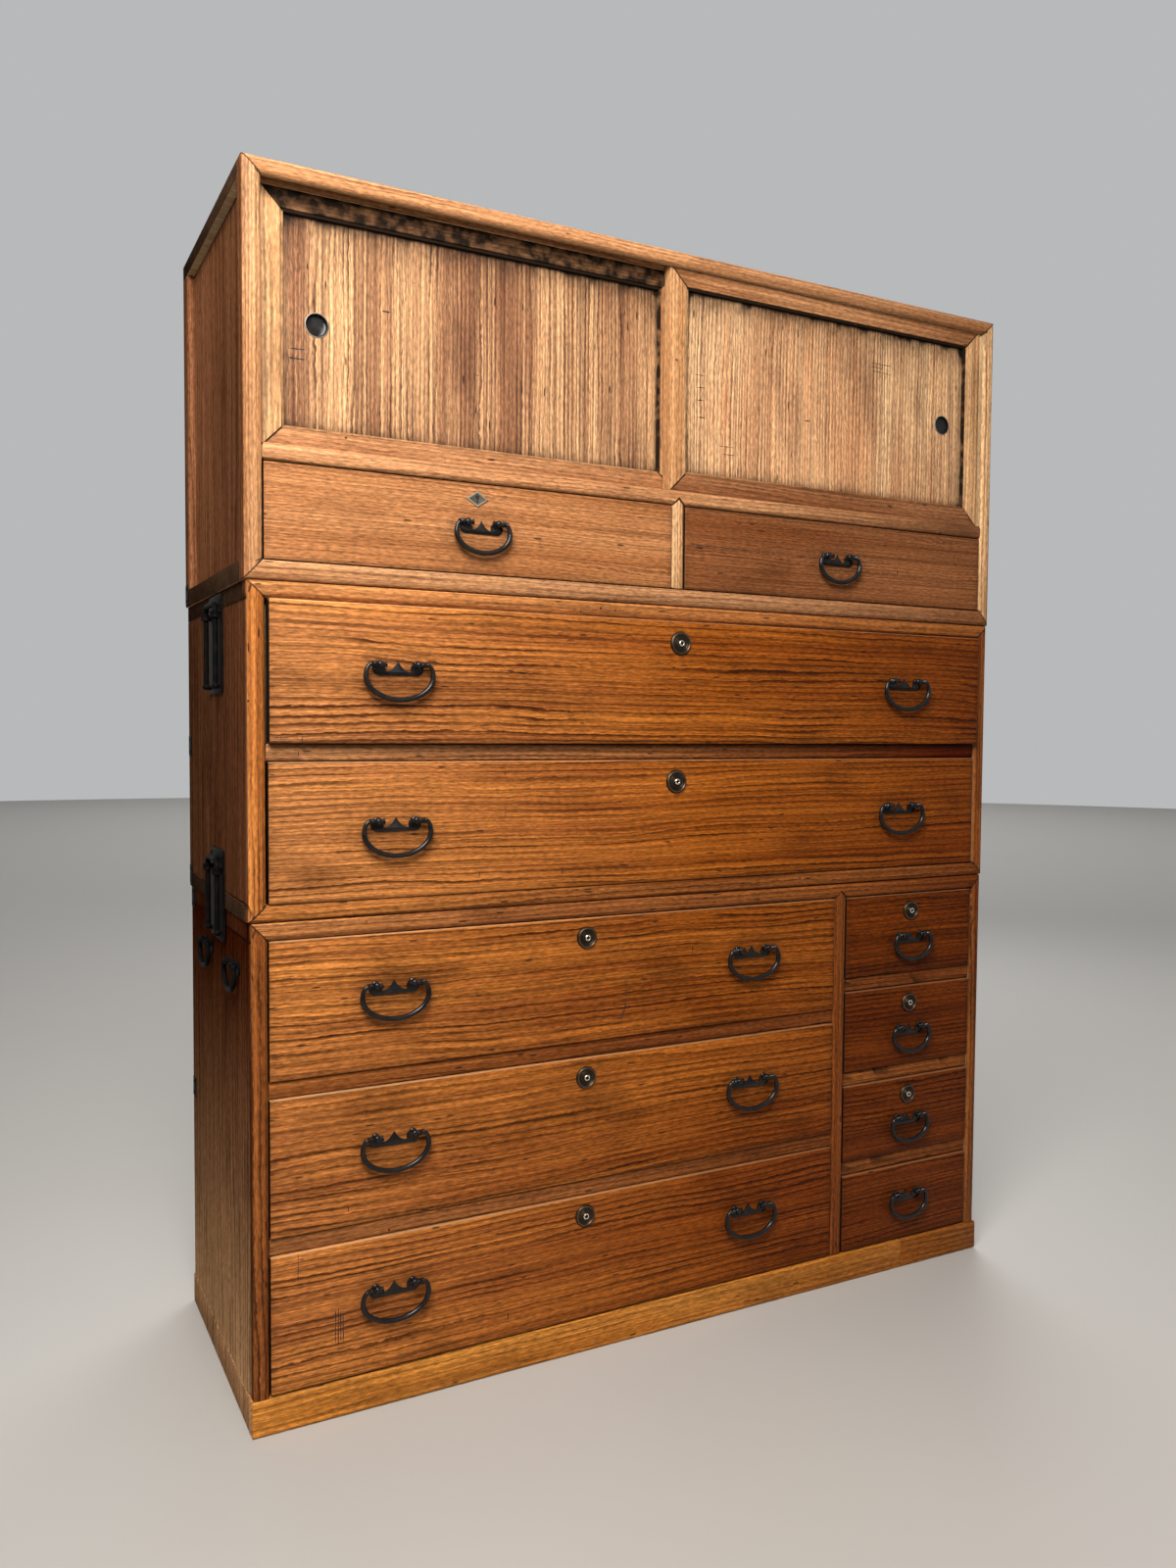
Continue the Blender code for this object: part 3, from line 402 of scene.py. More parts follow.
# Painted light: a paler copy of the door wood for the right door, which the lamps light less.
LIT_DOOR_WOOD = wood(
    "lit_door_wood", "Z", pale=(0.99, 0.620, 0.320), rich=(0.82, 0.410, 0.190),
    dark=(0.100, 0.036, 0.022), year=0.0060, wander=0.018, lines=0.88, gloss=0.26, streaks=0.50,
    pits=0.008, nicks=0.004)
SIDE_WOOD = wood(
    "side_wood", "Z", pale=(0.320, 0.132, 0.062), rich=(0.215, 0.083, 0.036),
    dark=(0.042, 0.013, 0.003), year=0.0100, wander=0.045, lines=0.55, gloss=0.40, worm=0.04, shine=0.0)
TOP_WOOD = wood(
    "top_wood", "X", pale=(0.300, 0.122, 0.056), rich=(0.205, 0.078, 0.033),
    dark=(0.042, 0.014, 0.004), year=0.0090, wander=0.040, lines=0.60, gloss=0.42, worm=0.04, shine=0.0)
END_WOOD = wood(
    "end_wood", "X", pale=(0.085, 0.044, 0.024), rich=(0.048, 0.026, 0.015),
    dark=(0.016, 0.009, 0.006), year=0.0050, wander=0.020, lines=0.60, gloss=0.48, shine=0.0)
INNER_WOOD = wood(
    "inner_wood", "X", pale=(0.52, 0.370, 0.210), rich=(0.42, 0.275, 0.140),
    dark=(0.24, 0.140, 0.065), year=0.0120, wander=0.050, lines=0.45, gloss=0.55, pits=0.004, nicks=0.002)
INNER_POST_WOOD = wood(
    "inner_post_wood", "Z", pale=(0.52, 0.370, 0.210), rich=(0.42, 0.275, 0.140),
    dark=(0.24, 0.140, 0.065), year=0.0120, wander=0.050, lines=0.45, gloss=0.55, pits=0.004, nicks=0.002)
print("woods:", len(bpy.data.materials))

# %% [markdown]
# ## Iron
# Pulls, plates and locks are wrought iron with a black finish that has worn to a dull shine. Small
# dents from the hammer break up the reflections, and brown rust shows through in patches. The irons on
# the sides are duller. Rims are paler, and the short tube round each keyhole is rubbed bright by the key.

# %% Recipe for iron
DENT_DEPTH = 0.10 * MM


def iron(name, plain, brown, rust, gloss, metal, specular=0.5):
    """Iron that is plain in places and brown in others. rust is how much of the brown shows."""
    finish = Finish(name, Metallic=metal, Specular_IOR_Level=specular)
    x, y, z = finish.axes()
    patch = finish.noise(x * 85.0, y * 85.0, z * 85.0, 4.0)
    grit = finish.noise(x * 900.0, y * 900.0, z * 900.0, 2.0)
    dent = finish.noise(x * 260.0, y * 260.0, z * 260.0, 1.0)
    colour = finish.blend(patch.steps((0.46, 0.0), (0.74, rust)), plain, brown)
    roughness = patch * 0.18 + grit * 0.06 + gloss
    return finish.surface(colour, roughness, dent + grit * 0.25, DENT_DEPTH)


BLACK_IRON = iron("black_iron", (0.006, 0.006, 0.006), (0.024, 0.014, 0.009), 0.60, 0.05, 0.0, 0.30)
SIDE_IRON = iron("side_iron", (0.004, 0.004, 0.004), (0.018, 0.010, 0.006), 0.60, 0.34, 0.0, 0.02)
LOCK_IRON = iron("lock_iron", (0.050, 0.034, 0.023), (0.090, 0.054, 0.030), 0.85, 0.26, 1.0)
WORN_IRON = iron("worn_iron", (0.180, 0.150, 0.115), (0.090, 0.066, 0.048), 0.85, 0.20, 1.0)
RIM_METAL = iron("rim_metal", (0.260, 0.220, 0.165), (0.150, 0.115, 0.080), 0.60, 0.36, 0.3)
RUBBED_METAL = iron("rubbed_metal", (0.800, 0.740, 0.640), (0.560, 0.460, 0.340), 0.60, 0.10, 1.0)
# Near black: painted shade inside holes, and the colour of the cracks.
HOLLOW = iron("hollow", (0.004, 0.004, 0.004), (0.010, 0.007, 0.005), 0.60, 0.60, 0.0)
IRONS = (BLACK_IRON, SIDE_IRON, LOCK_IRON, WORN_IRON, RIM_METAL, RUBBED_METAL, HOLLOW)
print("irons:", [finish.name for finish in IRONS])

# %% [markdown]
# ## Settling a piece
# When a piece is finished, it gets smooth shading between its sharp edges, its own board number and the
# body that it rides on. Where it stands for a imported node, that node is hidden from the picture and
# stays in the simulation.

# %% Helpers that settle a piece
random.seed(11)
SMOOTH_UNDER = math.radians(38)
settled = []


def write(piece, name, values):
    """Keep one number for each corner of a mesh under a name that finishes can read."""
    field = piece.data.attributes.get(name) or piece.data.attributes.new(name, "FLOAT", "POINT")
    field.data.foreach_set("value", values)


def number(piece):
    """Give a board its own random number, which shifts its figure."""
    write(piece, "board", [random.random()] * len(piece.data.vertices))


def paint(piece, *finishes):
    """Give a piece these finishes, one for each slot. All its faces have the first one."""
    piece.data.materials.clear()
    for finish in finishes:
        piece.data.materials.append(finish)


def paint_faces(piece, slot, test):
    """Give the faces that pass a test the finish in this slot."""
    edit(piece)
    if choose(piece, "FACE", test):
        piece.active_material_index = slot
        bpy.ops.object.material_slot_assign()
    done()


def settle(piece, name, body, slot, *nodes):
    """Name a finished piece, say what it rides on and hide the nodes that it stands for."""
    piece.name = piece.data.name = name
    only(piece)
    bpy.ops.object.shade_smooth_by_angle(angle=SMOOTH_UNDER)
    if "board" not in piece.data.attributes:
        number(piece)
    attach(piece, body)
    if nodes:
        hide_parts(*nodes)
    settled.append(piece)


def joined(*pieces):
    """Join pieces into the first one."""
    only(*pieces)
    bpy.ops.object.join()
    return bpy.context.object


def block(low, high, edge=0.0):
    """A board between two corners, with its edges eased by a plane."""
    low, high = Vector(low), Vector(high)
    only()
    bpy.ops.mesh.primitive_cube_add(size=1, location=(low + high) / 2)
    piece = bpy.context.object
    piece.scale = high - low
    apply_place(piece)
    if edge:
        edit(piece)
        bpy.ops.mesh.bevel(offset=edge, segments=2, affect="EDGES")
        done()
    number(piece)
    return piece


# %% [markdown]
# ## Case boards
# The sides, tops, bottoms, rails and dividers of the three cases already have their mitres, grooves and
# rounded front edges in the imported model. A copy of a node is merged, because its triangles are loose,
# its flat faces are made whole again, and every edge is eased, so that it catches the light as a planed
# board does. The front of a board, its ends and its hidden inside then get different finishes. Numbers
# kept at corners run evenly across a face, so an edge loop is cut wherever a colour has to stop: a
# millimetre before a mitre, where dirt sits in the joint, and just behind the front.

# %% Copy and ease the boards
EASED, WELD = 0.7 * MM, 0.001 * MM
FLAT_WITHIN, SHARP_OVER = math.radians(1), math.radians(50)
SEAM, MITRE_FACE, MITRE_REACH = 1.3 * MM, 40 * MM * MM, 14 * MM
SEAM_INSIDE, MITRE_SLANT = 0.9 * SEAM, 0.3


def cut(piece, place, out):
    """Add an edge loop where a plane crosses a piece."""
    edit(piece)
    bpy.ops.mesh.bisect(plane_co=place, plane_no=out)
    done()


def seams(piece):
    """Blacken the last millimetre before each mitred end, because dirt sits in the joint."""
    mitres = []
    for face in piece.data.polygons:
        if face.area > MITRE_FACE and min(abs(face.normal.x), abs(face.normal.z)) > MITRE_SLANT:
            mitres.append((face.center.copy(), face.normal.copy()))
    for place, out in mitres:
        cut(piece, place - out * SEAM, out)

    def in_joint(spot):
        return any(
            abs((spot - place).dot(out)) < SEAM_INSIDE and spot.y < place.y + MITRE_REACH
            for place, out in mitres)

    write(piece, "grime_and_shade", [1.0 if in_joint(corner.co) else 0.0 for corner in piece.data.vertices])


def board(node, ease=EASED, trim=None):
    """A finer copy of a packed board. trim is (place, outward) of a plane: what lies beyond is cut off."""
    only(frame["nodes"][node])
    bpy.ops.object.duplicate()
    piece = bpy.context.object
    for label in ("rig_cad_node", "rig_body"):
        del piece[label]
    bpy.ops.mesh.customdata_custom_splitnormals_clear()
    edit(piece)
    bpy.ops.mesh.remove_doubles(threshold=WELD)
    if trim:
        bpy.ops.mesh.bisect(plane_co=trim[0], plane_no=trim[1], use_fill=True, clear_outer=True)
        bpy.ops.mesh.select_all(action="SELECT")
    bpy.ops.mesh.dissolve_limited(angle_limit=FLAT_WITHIN)
    done()
    modify(piece, "BEVEL", width=ease, segments=2, limit_method="ANGLE", angle_limit=SHARP_OVER)
    seams(piece)
    return piece


# %% Colours that change along the front
# Painted light along the front: painted shade that grows towards the right end, and a painted sheen at the
# left end.
FRONT_LEFT, FRONT_SPAN, RIGHT_SHADE_MOST, DARK_CURVE = -0.50, 1.05, 0.58, 0.7
SHEEN_END, SHEEN_SPAN = 0.05, 0.60
FACING, FRONT_FACING = 0.7, -0.35


def rightward(x):
    """From 0 near the left end of the front to 1 at its right end."""
    return min(1.0, max(0.0, (x - FRONT_LEFT) / FRONT_SPAN))


def right_shade(x):
    """Painted shade that grows from the left end of the front to its right end, where less light falls."""
    return RIGHT_SHADE_MOST * rightward(x) ** DARK_CURVE


def left_sheen(x):
    """A painted sheen at the left end of the fronts, where they reflect the most light."""
    return min(1.0, max(0.0, (SHEEN_END - x) / SHEEN_SPAN))


def front_face(face):
    return face.normal.y < FRONT_FACING


def end_face(face):
    return abs(face.normal.x) > FACING


# %% Rails, tops and bottoms
LIP, ON_CUT = 12 * MM, 0.1 * MM
# Painted shade on the boards' fronts, from a start at the left end and a rise towards the right; painted
# shade on the ends of two tops; and a painted sheen at the left end of some fronts.
BOARD_TONES = {
    "wide_rail_1": (0.40, 0.30), "wide_rail_2": (0.0, 0.62), "lower_top": (-0.08, 0.84),
    "middle_rail": (0.0, 0.90), "middle_top": (0.0, 0.36), "middle_bottom": (0.06, 0.55),
    "upper_top": (0.10, 0.16), "upper_bottom": (-0.04, 0.52), "upper_sill": (0.0, 0.24)}
END_TONES = {"lower_top": 0.70, "middle_top": 0.20}
BOARD_SHEEN = {
    "upper_bottom": 0.25, "middle_rail": 0.40, "middle_top": 0.22, "lower_top": 0.16, "wide_rail_2": 0.16}


def level_board(node, body, front, top, end, under=None):
    """A board that lies level, with finishes for its front, its top, its ends and its underside."""
    piece = board(node)
    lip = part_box(node)[0].y + LIP
    cut(piece, (0, lip, 0), (0, 1, 0))
    paint(piece, top, front, end, under or top)
    paint_faces(piece, 3, lambda face: face.normal.z < -FACING)
    paint_faces(piece, 1, front_face)
    paint_faces(piece, 2, end_face)
    left, rise = BOARD_TONES.get(node, (0.0, 0.0))
    end_tone, painted_sheen = END_TONES.get(node, 0.0), BOARD_SHEEN.get(node, 0.0)
    tones, sheens = [], []
    for corner in piece.data.vertices:
        in_front = corner.co.y < lip - ON_CUT
        tones.append(max(0.0, left + rise * rightward(corner.co.x)) if in_front else end_tone)
        sheens.append(painted_sheen * left_sheen(corner.co.x) if in_front else 0.0)
    write(piece, "tone_and_shade", tones)
    write(piece, "painted_sheen", sheens)
    settle(piece, node + "_board", body, "frame_wood", node)


for node in ("wide_rail_1", "wide_rail_2"):
    level_board(node, "lower_case", RAIL_WOOD, INNER_WOOD, RAIL_WOOD)

SPLICE, SPLICE_GAP = 0.4395, 0.4 * MM
# Painted shade on the plinth: it darkens towards the right, and its short right length more.
PLINTH_SHARE, PLINTH_EXTRA = 0.4, {"long": 0.0, "short": 0.40}
lengths = [board("plinth", trim=((SPLICE - out * SPLICE_GAP, 0, 0), (out, 0, 0))) for out in (1, -1)]
for length, end in zip(lengths, ("long", "short")):
    paint(length, PLINTH_WOOD)
    places = [corner.co for corner in length.data.vertices]
    write(length, "tone_and_shade", [PLINTH_SHARE * right_shade(place.x) + PLINTH_EXTRA[end] for place in places])
    settle(length, f"plinth_{end}_board", "lower_case", "frame_wood", "plinth")

level_board("lower_top", "lower_case", RAIL_WOOD, TOP_WOOD, SIDE_WOOD, INNER_WOOD)
level_board("lower_bottom", "lower_case", INNER_WOOD, INNER_WOOD, INNER_WOOD)
level_board("middle_rail", "middle_case", RAIL_WOOD, INNER_WOOD, RAIL_WOOD)
level_board("middle_top", "middle_case", RAIL_WOOD, TOP_WOOD, END_WOOD, INNER_WOOD)
level_board("middle_bottom", "middle_case", RAIL_WOOD, RAIL_WOOD, END_WOOD)
level_board("upper_top", "upper_case", PALE_RAIL_WOOD, TOP_WOOD, END_WOOD, INNER_WOOD)
level_board("upper_bottom", "upper_case", PALE_RAIL_WOOD, PALE_RAIL_WOOD, END_WOOD)
level_board("upper_sill", "upper_case", PALE_RAIL_WOOD, PALE_RAIL_WOOD, INNER_WOOD)
print("level boards:", len(settled))

# %% Sides
LOWER_HALF, MIDDLE_HALF, TRIM_CLEAR = 0.603, 0.6055, 0.02 * MM


def side_board(node, body, front, half, tone_and_shade, front_tone, painted_sheen):
    """An upright side: dark outside, bare inside, and a post of finer wood in front.

    The painted shade of the side, the painted shade of its post and the painted sheen are each a pair, at the
    foot and at the head of the board.
    """
    sign = -1 if "left" in node else 1
    trim = ((sign * (half + TRIM_CLEAR), 0, 0), (sign, 0, 0)) if half else None
    piece = board(node, trim=trim)
    low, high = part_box(node)
    lip = low.y + LIP
    cut(piece, (0, lip, 0), (0, 1, 0))
    paint(piece, SIDE_WOOD, front, INNER_POST_WOOD)
    paint_faces(piece, 2, lambda face: face.normal.x * sign < -FACING)
    paint_faces(piece, 1, lambda face: front_face(face) and face.calc_center_median().y < lip)

    def shade(behind, before, spot):
        foot, head = behind if spot.y > lip - ON_CUT else before
        return max(0.0, foot + (head - foot) * (spot.z - low.z) / (high.z - low.z))

    places = [corner.co for corner in piece.data.vertices]
    write(piece, "tone_and_shade", [shade(tone_and_shade, front_tone, place) for place in places])
    write(piece, "painted_sheen", [shade(painted_sheen, (0.0, 0.0), place) for place in places])
    settle(piece, node + "_board", body, "side_wood", node)


# Painted shade on the front posts and on the sides, each a pair at the foot and the head. The lower sides
# also get a painted reflection of the floor at their foot.
FRONT_TONES = {
    "lower": {"left": (0.46, 0.46), "right": (0.48, 0.54)},
    "middle": {"left": (0.0, 0.0), "right": (0.46, 0.58)},
    "upper": {"left": (0.40, 0.18), "right": (0.0, 0.0)}}
SIDES = {
    "lower": (POST_WOOD, LOWER_HALF, (-0.06, 0.86), (1.0, 0.0)),
    "middle": (POST_WOOD, MIDDLE_HALF, (0.26, 0.26), (0.0, 0.0)),
    "upper": (LIT_POST_WOOD, None, (0.0, 0.0), (0.0, 0.0))}
for hand in ("left", "right"):
    for section, (front, half, tone_and_shade, painted_sheen) in SIDES.items():
        front_tone = FRONT_TONES[section][hand]
        side_board(f"{section}_{hand}_side", f"{section}_case", front, half, tone_and_shade, front_tone, painted_sheen)
print("boards with sides:", len(settled))

# %% Low strips along the foot
RETURN_HEIGHT, RETURN_PROUD, RETURN_SUNK = 0.042, 0.0015, 1 * MM
RETURN_GAP, RETURN_EDGE, RETURN_SHEEN = 0.5 * MM, 0.5 * MM, 0.60
for hand, sign in (("left", -1), ("right", 1)):
    low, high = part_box(f"lower_{hand}_side")
    near, far = sign * (LOWER_HALF - RETURN_SUNK), sign * (LOWER_HALF + RETURN_PROUD)
    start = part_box("plinth")[1].y + RETURN_GAP
    head = low.z + RETURN_HEIGHT
    foot_strip = block((min(near, far), start, low.z), (max(near, far), high.y, head), RETURN_EDGE)
    paint(foot_strip, SIDE_WOOD)
    # Painted reflection: the foot strips are paled as if they reflected the floor.
    write(foot_strip, "painted_sheen", [RETURN_SHEEN] * len(foot_strip.data.vertices))
    settle(foot_strip, f"lower_{hand}_return", "lower_case", "side_wood")
print("foot strips, mm high:", RETURN_HEIGHT / MM)

# %% Dividers
DIVIDER_LOW, DIVIDER_HIGH, DIVIDER_FOOT = 0.2945, 0.3175, 0.24
bay = board("small_bay_frame")
bay_low, bay_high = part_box("small_bay_frame")
lip = bay_low.y + LIP


def on_divider(face):
    return DIVIDER_LOW < face.calc_center_median().x < DIVIDER_HIGH


def bay_tone(spot):
    """Painted shade: the front of the frame darkens towards the right, and the divider more towards its foot.
    """
    foot = DIVIDER_FOOT * (1 - spot.z / bay_high.z) if DIVIDER_LOW < spot.x < DIVIDER_HIGH else 0.0
    return right_shade(spot.x) + foot if spot.y < lip else 0.0


paint(bay, INNER_WOOD, RAIL_WOOD, POST_WOOD, INNER_POST_WOOD)
paint_faces(bay, 1, lambda face: face.calc_center_median().y < lip)
paint_faces(bay, 3, on_divider)
paint_faces(bay, 2, lambda face: on_divider(face) and face.calc_center_median().y < lip)
write(bay, "tone_and_shade", [bay_tone(corner.co) for corner in bay.data.vertices])
settle(bay, "small_bay_frame_board", "lower_case", "frame_wood", "small_bay_frame")

divider = board("upper_divider")
paint(divider, INNER_POST_WOOD, LIT_POST_WOOD)
paint_faces(divider, 1, front_face)
settle(divider, "upper_divider_board", "upper_case", "frame_wood", "upper_divider")
print("boards so far:", len(settled))

# %% [markdown]
# ## Backs
# Nobody sees the back of a chest, so it is closed with thin bare planks, laid level between the sides.
# Each plank is a block with eased edges. They are joined into one back for each case.

# %% Close the backs with planks
PLANK, PLANK_GAP, PLANK_EDGE = 0.115, 0.6 * MM, 0.8 * MM


def back(node, body):
    """Planks that fill the place of a packed back. Returns how many."""
    low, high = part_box(node)
    count = max(2, round((high.z - low.z) / PLANK))
    height = (high.z - low.z) / count
    planks = []
    for i in range(count):
        foot = low.z + i * height
        planks.append(block((low.x, low.y, foot), (high.x, high.y, foot + height - PLANK_GAP), PLANK_EDGE))
    piece = joined(*planks)
    paint(piece, INNER_WOOD)
    settle(piece, node + "_planks", body, "inner_wood", node)
    return count


for section in ("lower", "middle", "upper"):
    print(section, "back, planks:", back(f"{section}_back", f"{section}_case"))

# %% [markdown]
# ## Drawers
# A drawer is a tray of thin bare boards behind a thick front of figured wood. The front starts as a
# grid, because its many corners can hold darkening: dirt and painted shade along the edges, which sit
# in the gaps, and dirt round the irons. Solidify gives the grid its thickness, and a bevel eases its
# rim. The top edge of all but the upper drawers gets a painted highlight, the left end of the wide and
# middle fronts a painted sheen, and the fronts darken as painted shade towards the right and below.

# %% Measure the drawers
DRAWER_LENGTH = 0.386
DRAWERS = {f"wide_drawer_{i}": "wide" for i in (1, 2, 3)}
DRAWERS.update({f"small_drawer_{i}": "small" for i in (1, 2, 3, 4)})
DRAWERS.update({f"middle_drawer_{i}": "middle" for i in (1, 2)})
DRAWERS.update({f"upper_{hand}_drawer": "upper" for hand in ("left", "right")})
hinges = {joint["child"]: Vector(joint["pos_m"]) for joint in frame["joints"] if joint["type"] == "hinge"}


def drawer_space(node):
    """Corners of the drawer box itself, without its irons."""
    low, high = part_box(node)
    return Vector((low.x, high.y - DRAWER_LENGTH, low.z)), high


def bails_of(node):
    return [name for name in hinges if name.startswith(node + "_bail")]


print("drawers:", {node: len(bails_of(node)) for node in DRAWERS})

# %% Make the fronts
FRONT_THICKNESS, FRONT_EDGE, GRID = 0.020, 1.5 * MM, 0.010
# Painted shade: some drawers take a fixed amount, the others one that grows towards the right, made stronger
# on the lower wide drawers. The wide and middle fronts get a painted sheen at their left end.
TONES = {
    "small_drawer_1": 0.57, "small_drawer_2": 0.58, "small_drawer_3": 0.54, "small_drawer_4": 0.58,
    "upper_left_drawer": 0.0, "upper_right_drawer": 0.50}
DEEPER = {"wide_drawer_2": 1.10, "wide_drawer_3": 1.26}
FRONT_SHEEN = {"middle": 0.30, "wide": 0.18}
EDGE_HIGHLIGHT, HIGHLIGHT_HEIGHT = 0.50, 1.2 * MM
# Dirt and painted shade on the rims of a front, and dirt round its pulls.
MOST_GRIME_AND_SHADE, RIM, RIM_GRIME_AND_SHADE, RIM_FADE = 1.5, 0.2 * MM, 0.35, 0.004
PULL_GRIME, PULL_WIDE, PULL_HIGH, PULL_DROP = 0.22, 0.052, 0.036, 0.016
PULL_CORE, PULL_SPREAD = 0.75, 0.10


def grid_board(low, high, thickness, edge):
    """A board facing the front, with a corner every few millimetres to hold dirt and painted shade."""
    width, height = high.x - low.x, high.z - low.z
    only()
    bpy.ops.mesh.primitive_grid_add(
        x_subdivisions=round(width / GRID), y_subdivisions=round(height / GRID), size=1,
        location=((low.x + high.x) / 2, low.y, (low.z + high.z) / 2), rotation=(math.pi / 2, 0, 0))
    piece = bpy.context.object
    piece.scale = (width, height, 1)
    apply_place(piece)
    modify(piece, "SOLIDIFY", thickness=thickness, offset=-1)
    modify(piece, "BEVEL", width=edge, segments=3, limit_method="ANGLE", angle_limit=SHARP_OVER)
    return piece


def soil_and_shade(piece, dirt_and_shade):
    """Keep an amount of dirt and painted shade for each corner, from its place."""
    write(piece, "grime_and_shade", [min(MOST_GRIME_AND_SHADE, dirt_and_shade(corner.co.x, corner.co.z)) for corner in piece.data.vertices])


def drawer_front(node):
    """The thick front of a drawer, with its dirt, painted shade, painted sheen, painted highlight and colour.
    """
    low, high = drawer_space(node)
    piece = grid_board(low, high, FRONT_THICKNESS, FRONT_EDGE)
    kind = DRAWERS[node]

    def dirt_and_shade(x, z):
        # Dirt and painted shade on the rims, which sit in the gaps; on the upper drawers along the top too.
        rim = min(x - low.x, high.x - x, z - low.z)
        if kind == "upper":
            rim = min(rim, high.z - z)
        amount = MOST_GRIME_AND_SHADE if rim < RIM else RIM_GRIME_AND_SHADE * math.exp(-rim / RIM_FADE)
        for bail in bails_of(node):
            aside, above = x - hinges[bail].x, z - hinges[bail].z + PULL_DROP
            away = math.hypot(aside / PULL_WIDE, above / PULL_HIGH)
            amount += PULL_GRIME * math.exp(-max(0.0, away - PULL_CORE) ** 2 / PULL_SPREAD)
        return amount

    # Painted shade, from the tables above.
    def tone_and_shade(x):
        return TONES[node] if node in TONES else DEEPER.get(node, 1.0) * right_shade(x)

    soil_and_shade(piece, dirt_and_shade)
    places = [corner.co for corner in piece.data.vertices]
    # A painted highlight along the top edge, except on the upper drawers, and a painted sheen at the left
    # end.
    painted_highlight = 0.0 if kind == "upper" else EDGE_HIGHLIGHT
    write(piece, "painted_highlight", [painted_highlight if high.z - place.z < HIGHLIGHT_HEIGHT else 0.0 for place in places])
    write(piece, "painted_sheen", [FRONT_SHEEN.get(kind, 0.0) * left_sheen(place.x) for place in places])
    write(piece, "tone_and_shade", [tone_and_shade(place.x) for place in places])
    return piece


# %% Make the trays and put the drawers together
WALL, FLOOR, SIDE_DROP, WALL_EDGE = 0.011, 0.007, 0.006, 0.8 * MM
FRONT_WOODS = {
    "wide": DRAWER_WOOD, "middle": DRAWER_WOOD, "small": SHADED_DRAWER_WOOD, "upper": UPPER_DRAWER_WOOD}


def tray(node):
    """Two sides, a back and a floor behind the front."""
    low, high = drawer_space(node)
    front = low.y + FRONT_THICKNESS
    top = high.z - SIDE_DROP
    walls = [
        block((low.x, front, low.z), (low.x + WALL, high.y, top), WALL_EDGE),
        block((high.x - WALL, front, low.z), (high.x, high.y, top), WALL_EDGE),
        block((low.x + WALL, high.y - WALL, low.z), (high.x - WALL, high.y, top), WALL_EDGE),
        block((low.x + WALL, front, low.z), (high.x - WALL, high.y - WALL, low.z + FLOOR)),
    ]
    return joined(*walls)


for node, kind in DRAWERS.items():
    front = drawer_front(node)
    paint(front, FRONT_WOODS[kind])
    settle(front, node + "_front", node, "drawer_wood", node)
    box = tray(node)
    paint(box, INNER_WOOD)
    settle(box, node + "_tray", node, "inner_wood")
print("drawers:", len(DRAWERS), "pieces:", len(settled))

# %% [markdown]
# ## Sliding doors
# Each door is a frame of four strips, mitred at the corners, with a thin bead inside it and a panel of
# straight-grained wood sunk behind. A strip starts as a block, and moving the inner corners of its ends
# makes the mitres. The finger cup is let into a round hole in the panel.

# %% Helpers for frames and holes
def strip(low, high, inner, along, edge):
    """One mitred strip of a frame. inner is the side its short edge is on, -1 or 1."""
    piece = block(low, high)
    low, high = Vector(low), Vector(high)
    run, cross = (0, 2) if along == "X" else (2, 0)
    width = high[cross] - low[cross]
    middle = (low + high) / 2
    for end in (-1, 1):
        edit(piece)

        def inner_corner(corner):
            offset = corner.co - middle
            return offset[cross] * inner > 0 and offset[run] * end > 0

        choose(piece, "VERT", inner_corner)
        step = [0.0, 0.0, 0.0]
        step[run] = -end * width
        bpy.ops.transform.translate(value=step)
        done()
    edit(piece)
    bpy.ops.mesh.bevel(offset=edge, segments=2, affect="EDGES")
    done()
    number(piece)
    seams(piece)
    return piece


def mitred_frame(low, high, width, edge):
    """Two level strips and two upright strips round a space, as two pieces."""
    rails = joined(
        strip(low, (high.x, high.y, low.z + width), 1, "X", edge),
        strip((low.x, low.y, high.z - width), high, -1, "X", edge))
    stiles = joined(
        strip(low, (low.x + width, high.y, high.z), 1, "Z", edge),
        strip((high.x - width, low.y, low.z), high, -1, "Z", edge))
    return rails, stiles


def inner_space(low, high, inset, front, rear):
    """The space inside a frame: inset on the four sides, with its own front and rear."""
    return Vector((low.x + inset, front, low.z + inset)), Vector((high.x - inset, rear, high.z - inset))


def drill(piece, radius, depth, place, turn, vertices):
    """Bore a round hole through a piece."""
    only()
    bpy.ops.mesh.primitive_cylinder_add(
        vertices=vertices, radius=radius, depth=depth, rotation=turn, location=place)
    bit = bpy.context.object
    modify(piece, "BOOLEAN", object=bit, operation="DIFFERENCE", solver="EXACT")
    bpy.data.objects.remove(bit)


# %% Make the doors
FRAME_WIDTH, FRAME_EDGE, BEAD, BEAD_SINK = 0.032, 0.9 * MM, 0.004, 0.002
PANEL_SINK, PANEL_LAP, PANEL_EDGE = 0.007, 0.5 * MM, 0.2 * MM
CUP_INSET, CUP_RADIUS, CUP_PLAY, CUP_DRILL = 0.074, 0.0155, 0.4 * MM, 0.011
# Painted shade on the doors: shade tones on some rails and stiles, a painted shadow of the top board's lip
# over the left door's top rail, black painted shade in the beads, and dirt and painted shade along the
# panels' edges, strongest at the top.
RAIL_TONES = {"left_door": (0.18, 0.0), "right_door": (0.54, 0.18)}
STILE_TONES = {"left_door": (0.0, 0.30), "right_door": (0.05, 0.05)}
TOP_RAIL_SHADOW = {"left_door": 0.98, "right_door": 0.0}
BEAD_RAIL_SHADE, BEAD_STILE_SHADE = (0.40, 1.5), (0.60, 1.1)
PANEL_TOP, PANEL_SIDE, PANEL_FOOT = (1.00, 0.020), (0.55, 0.007), (0.65, 0.008)


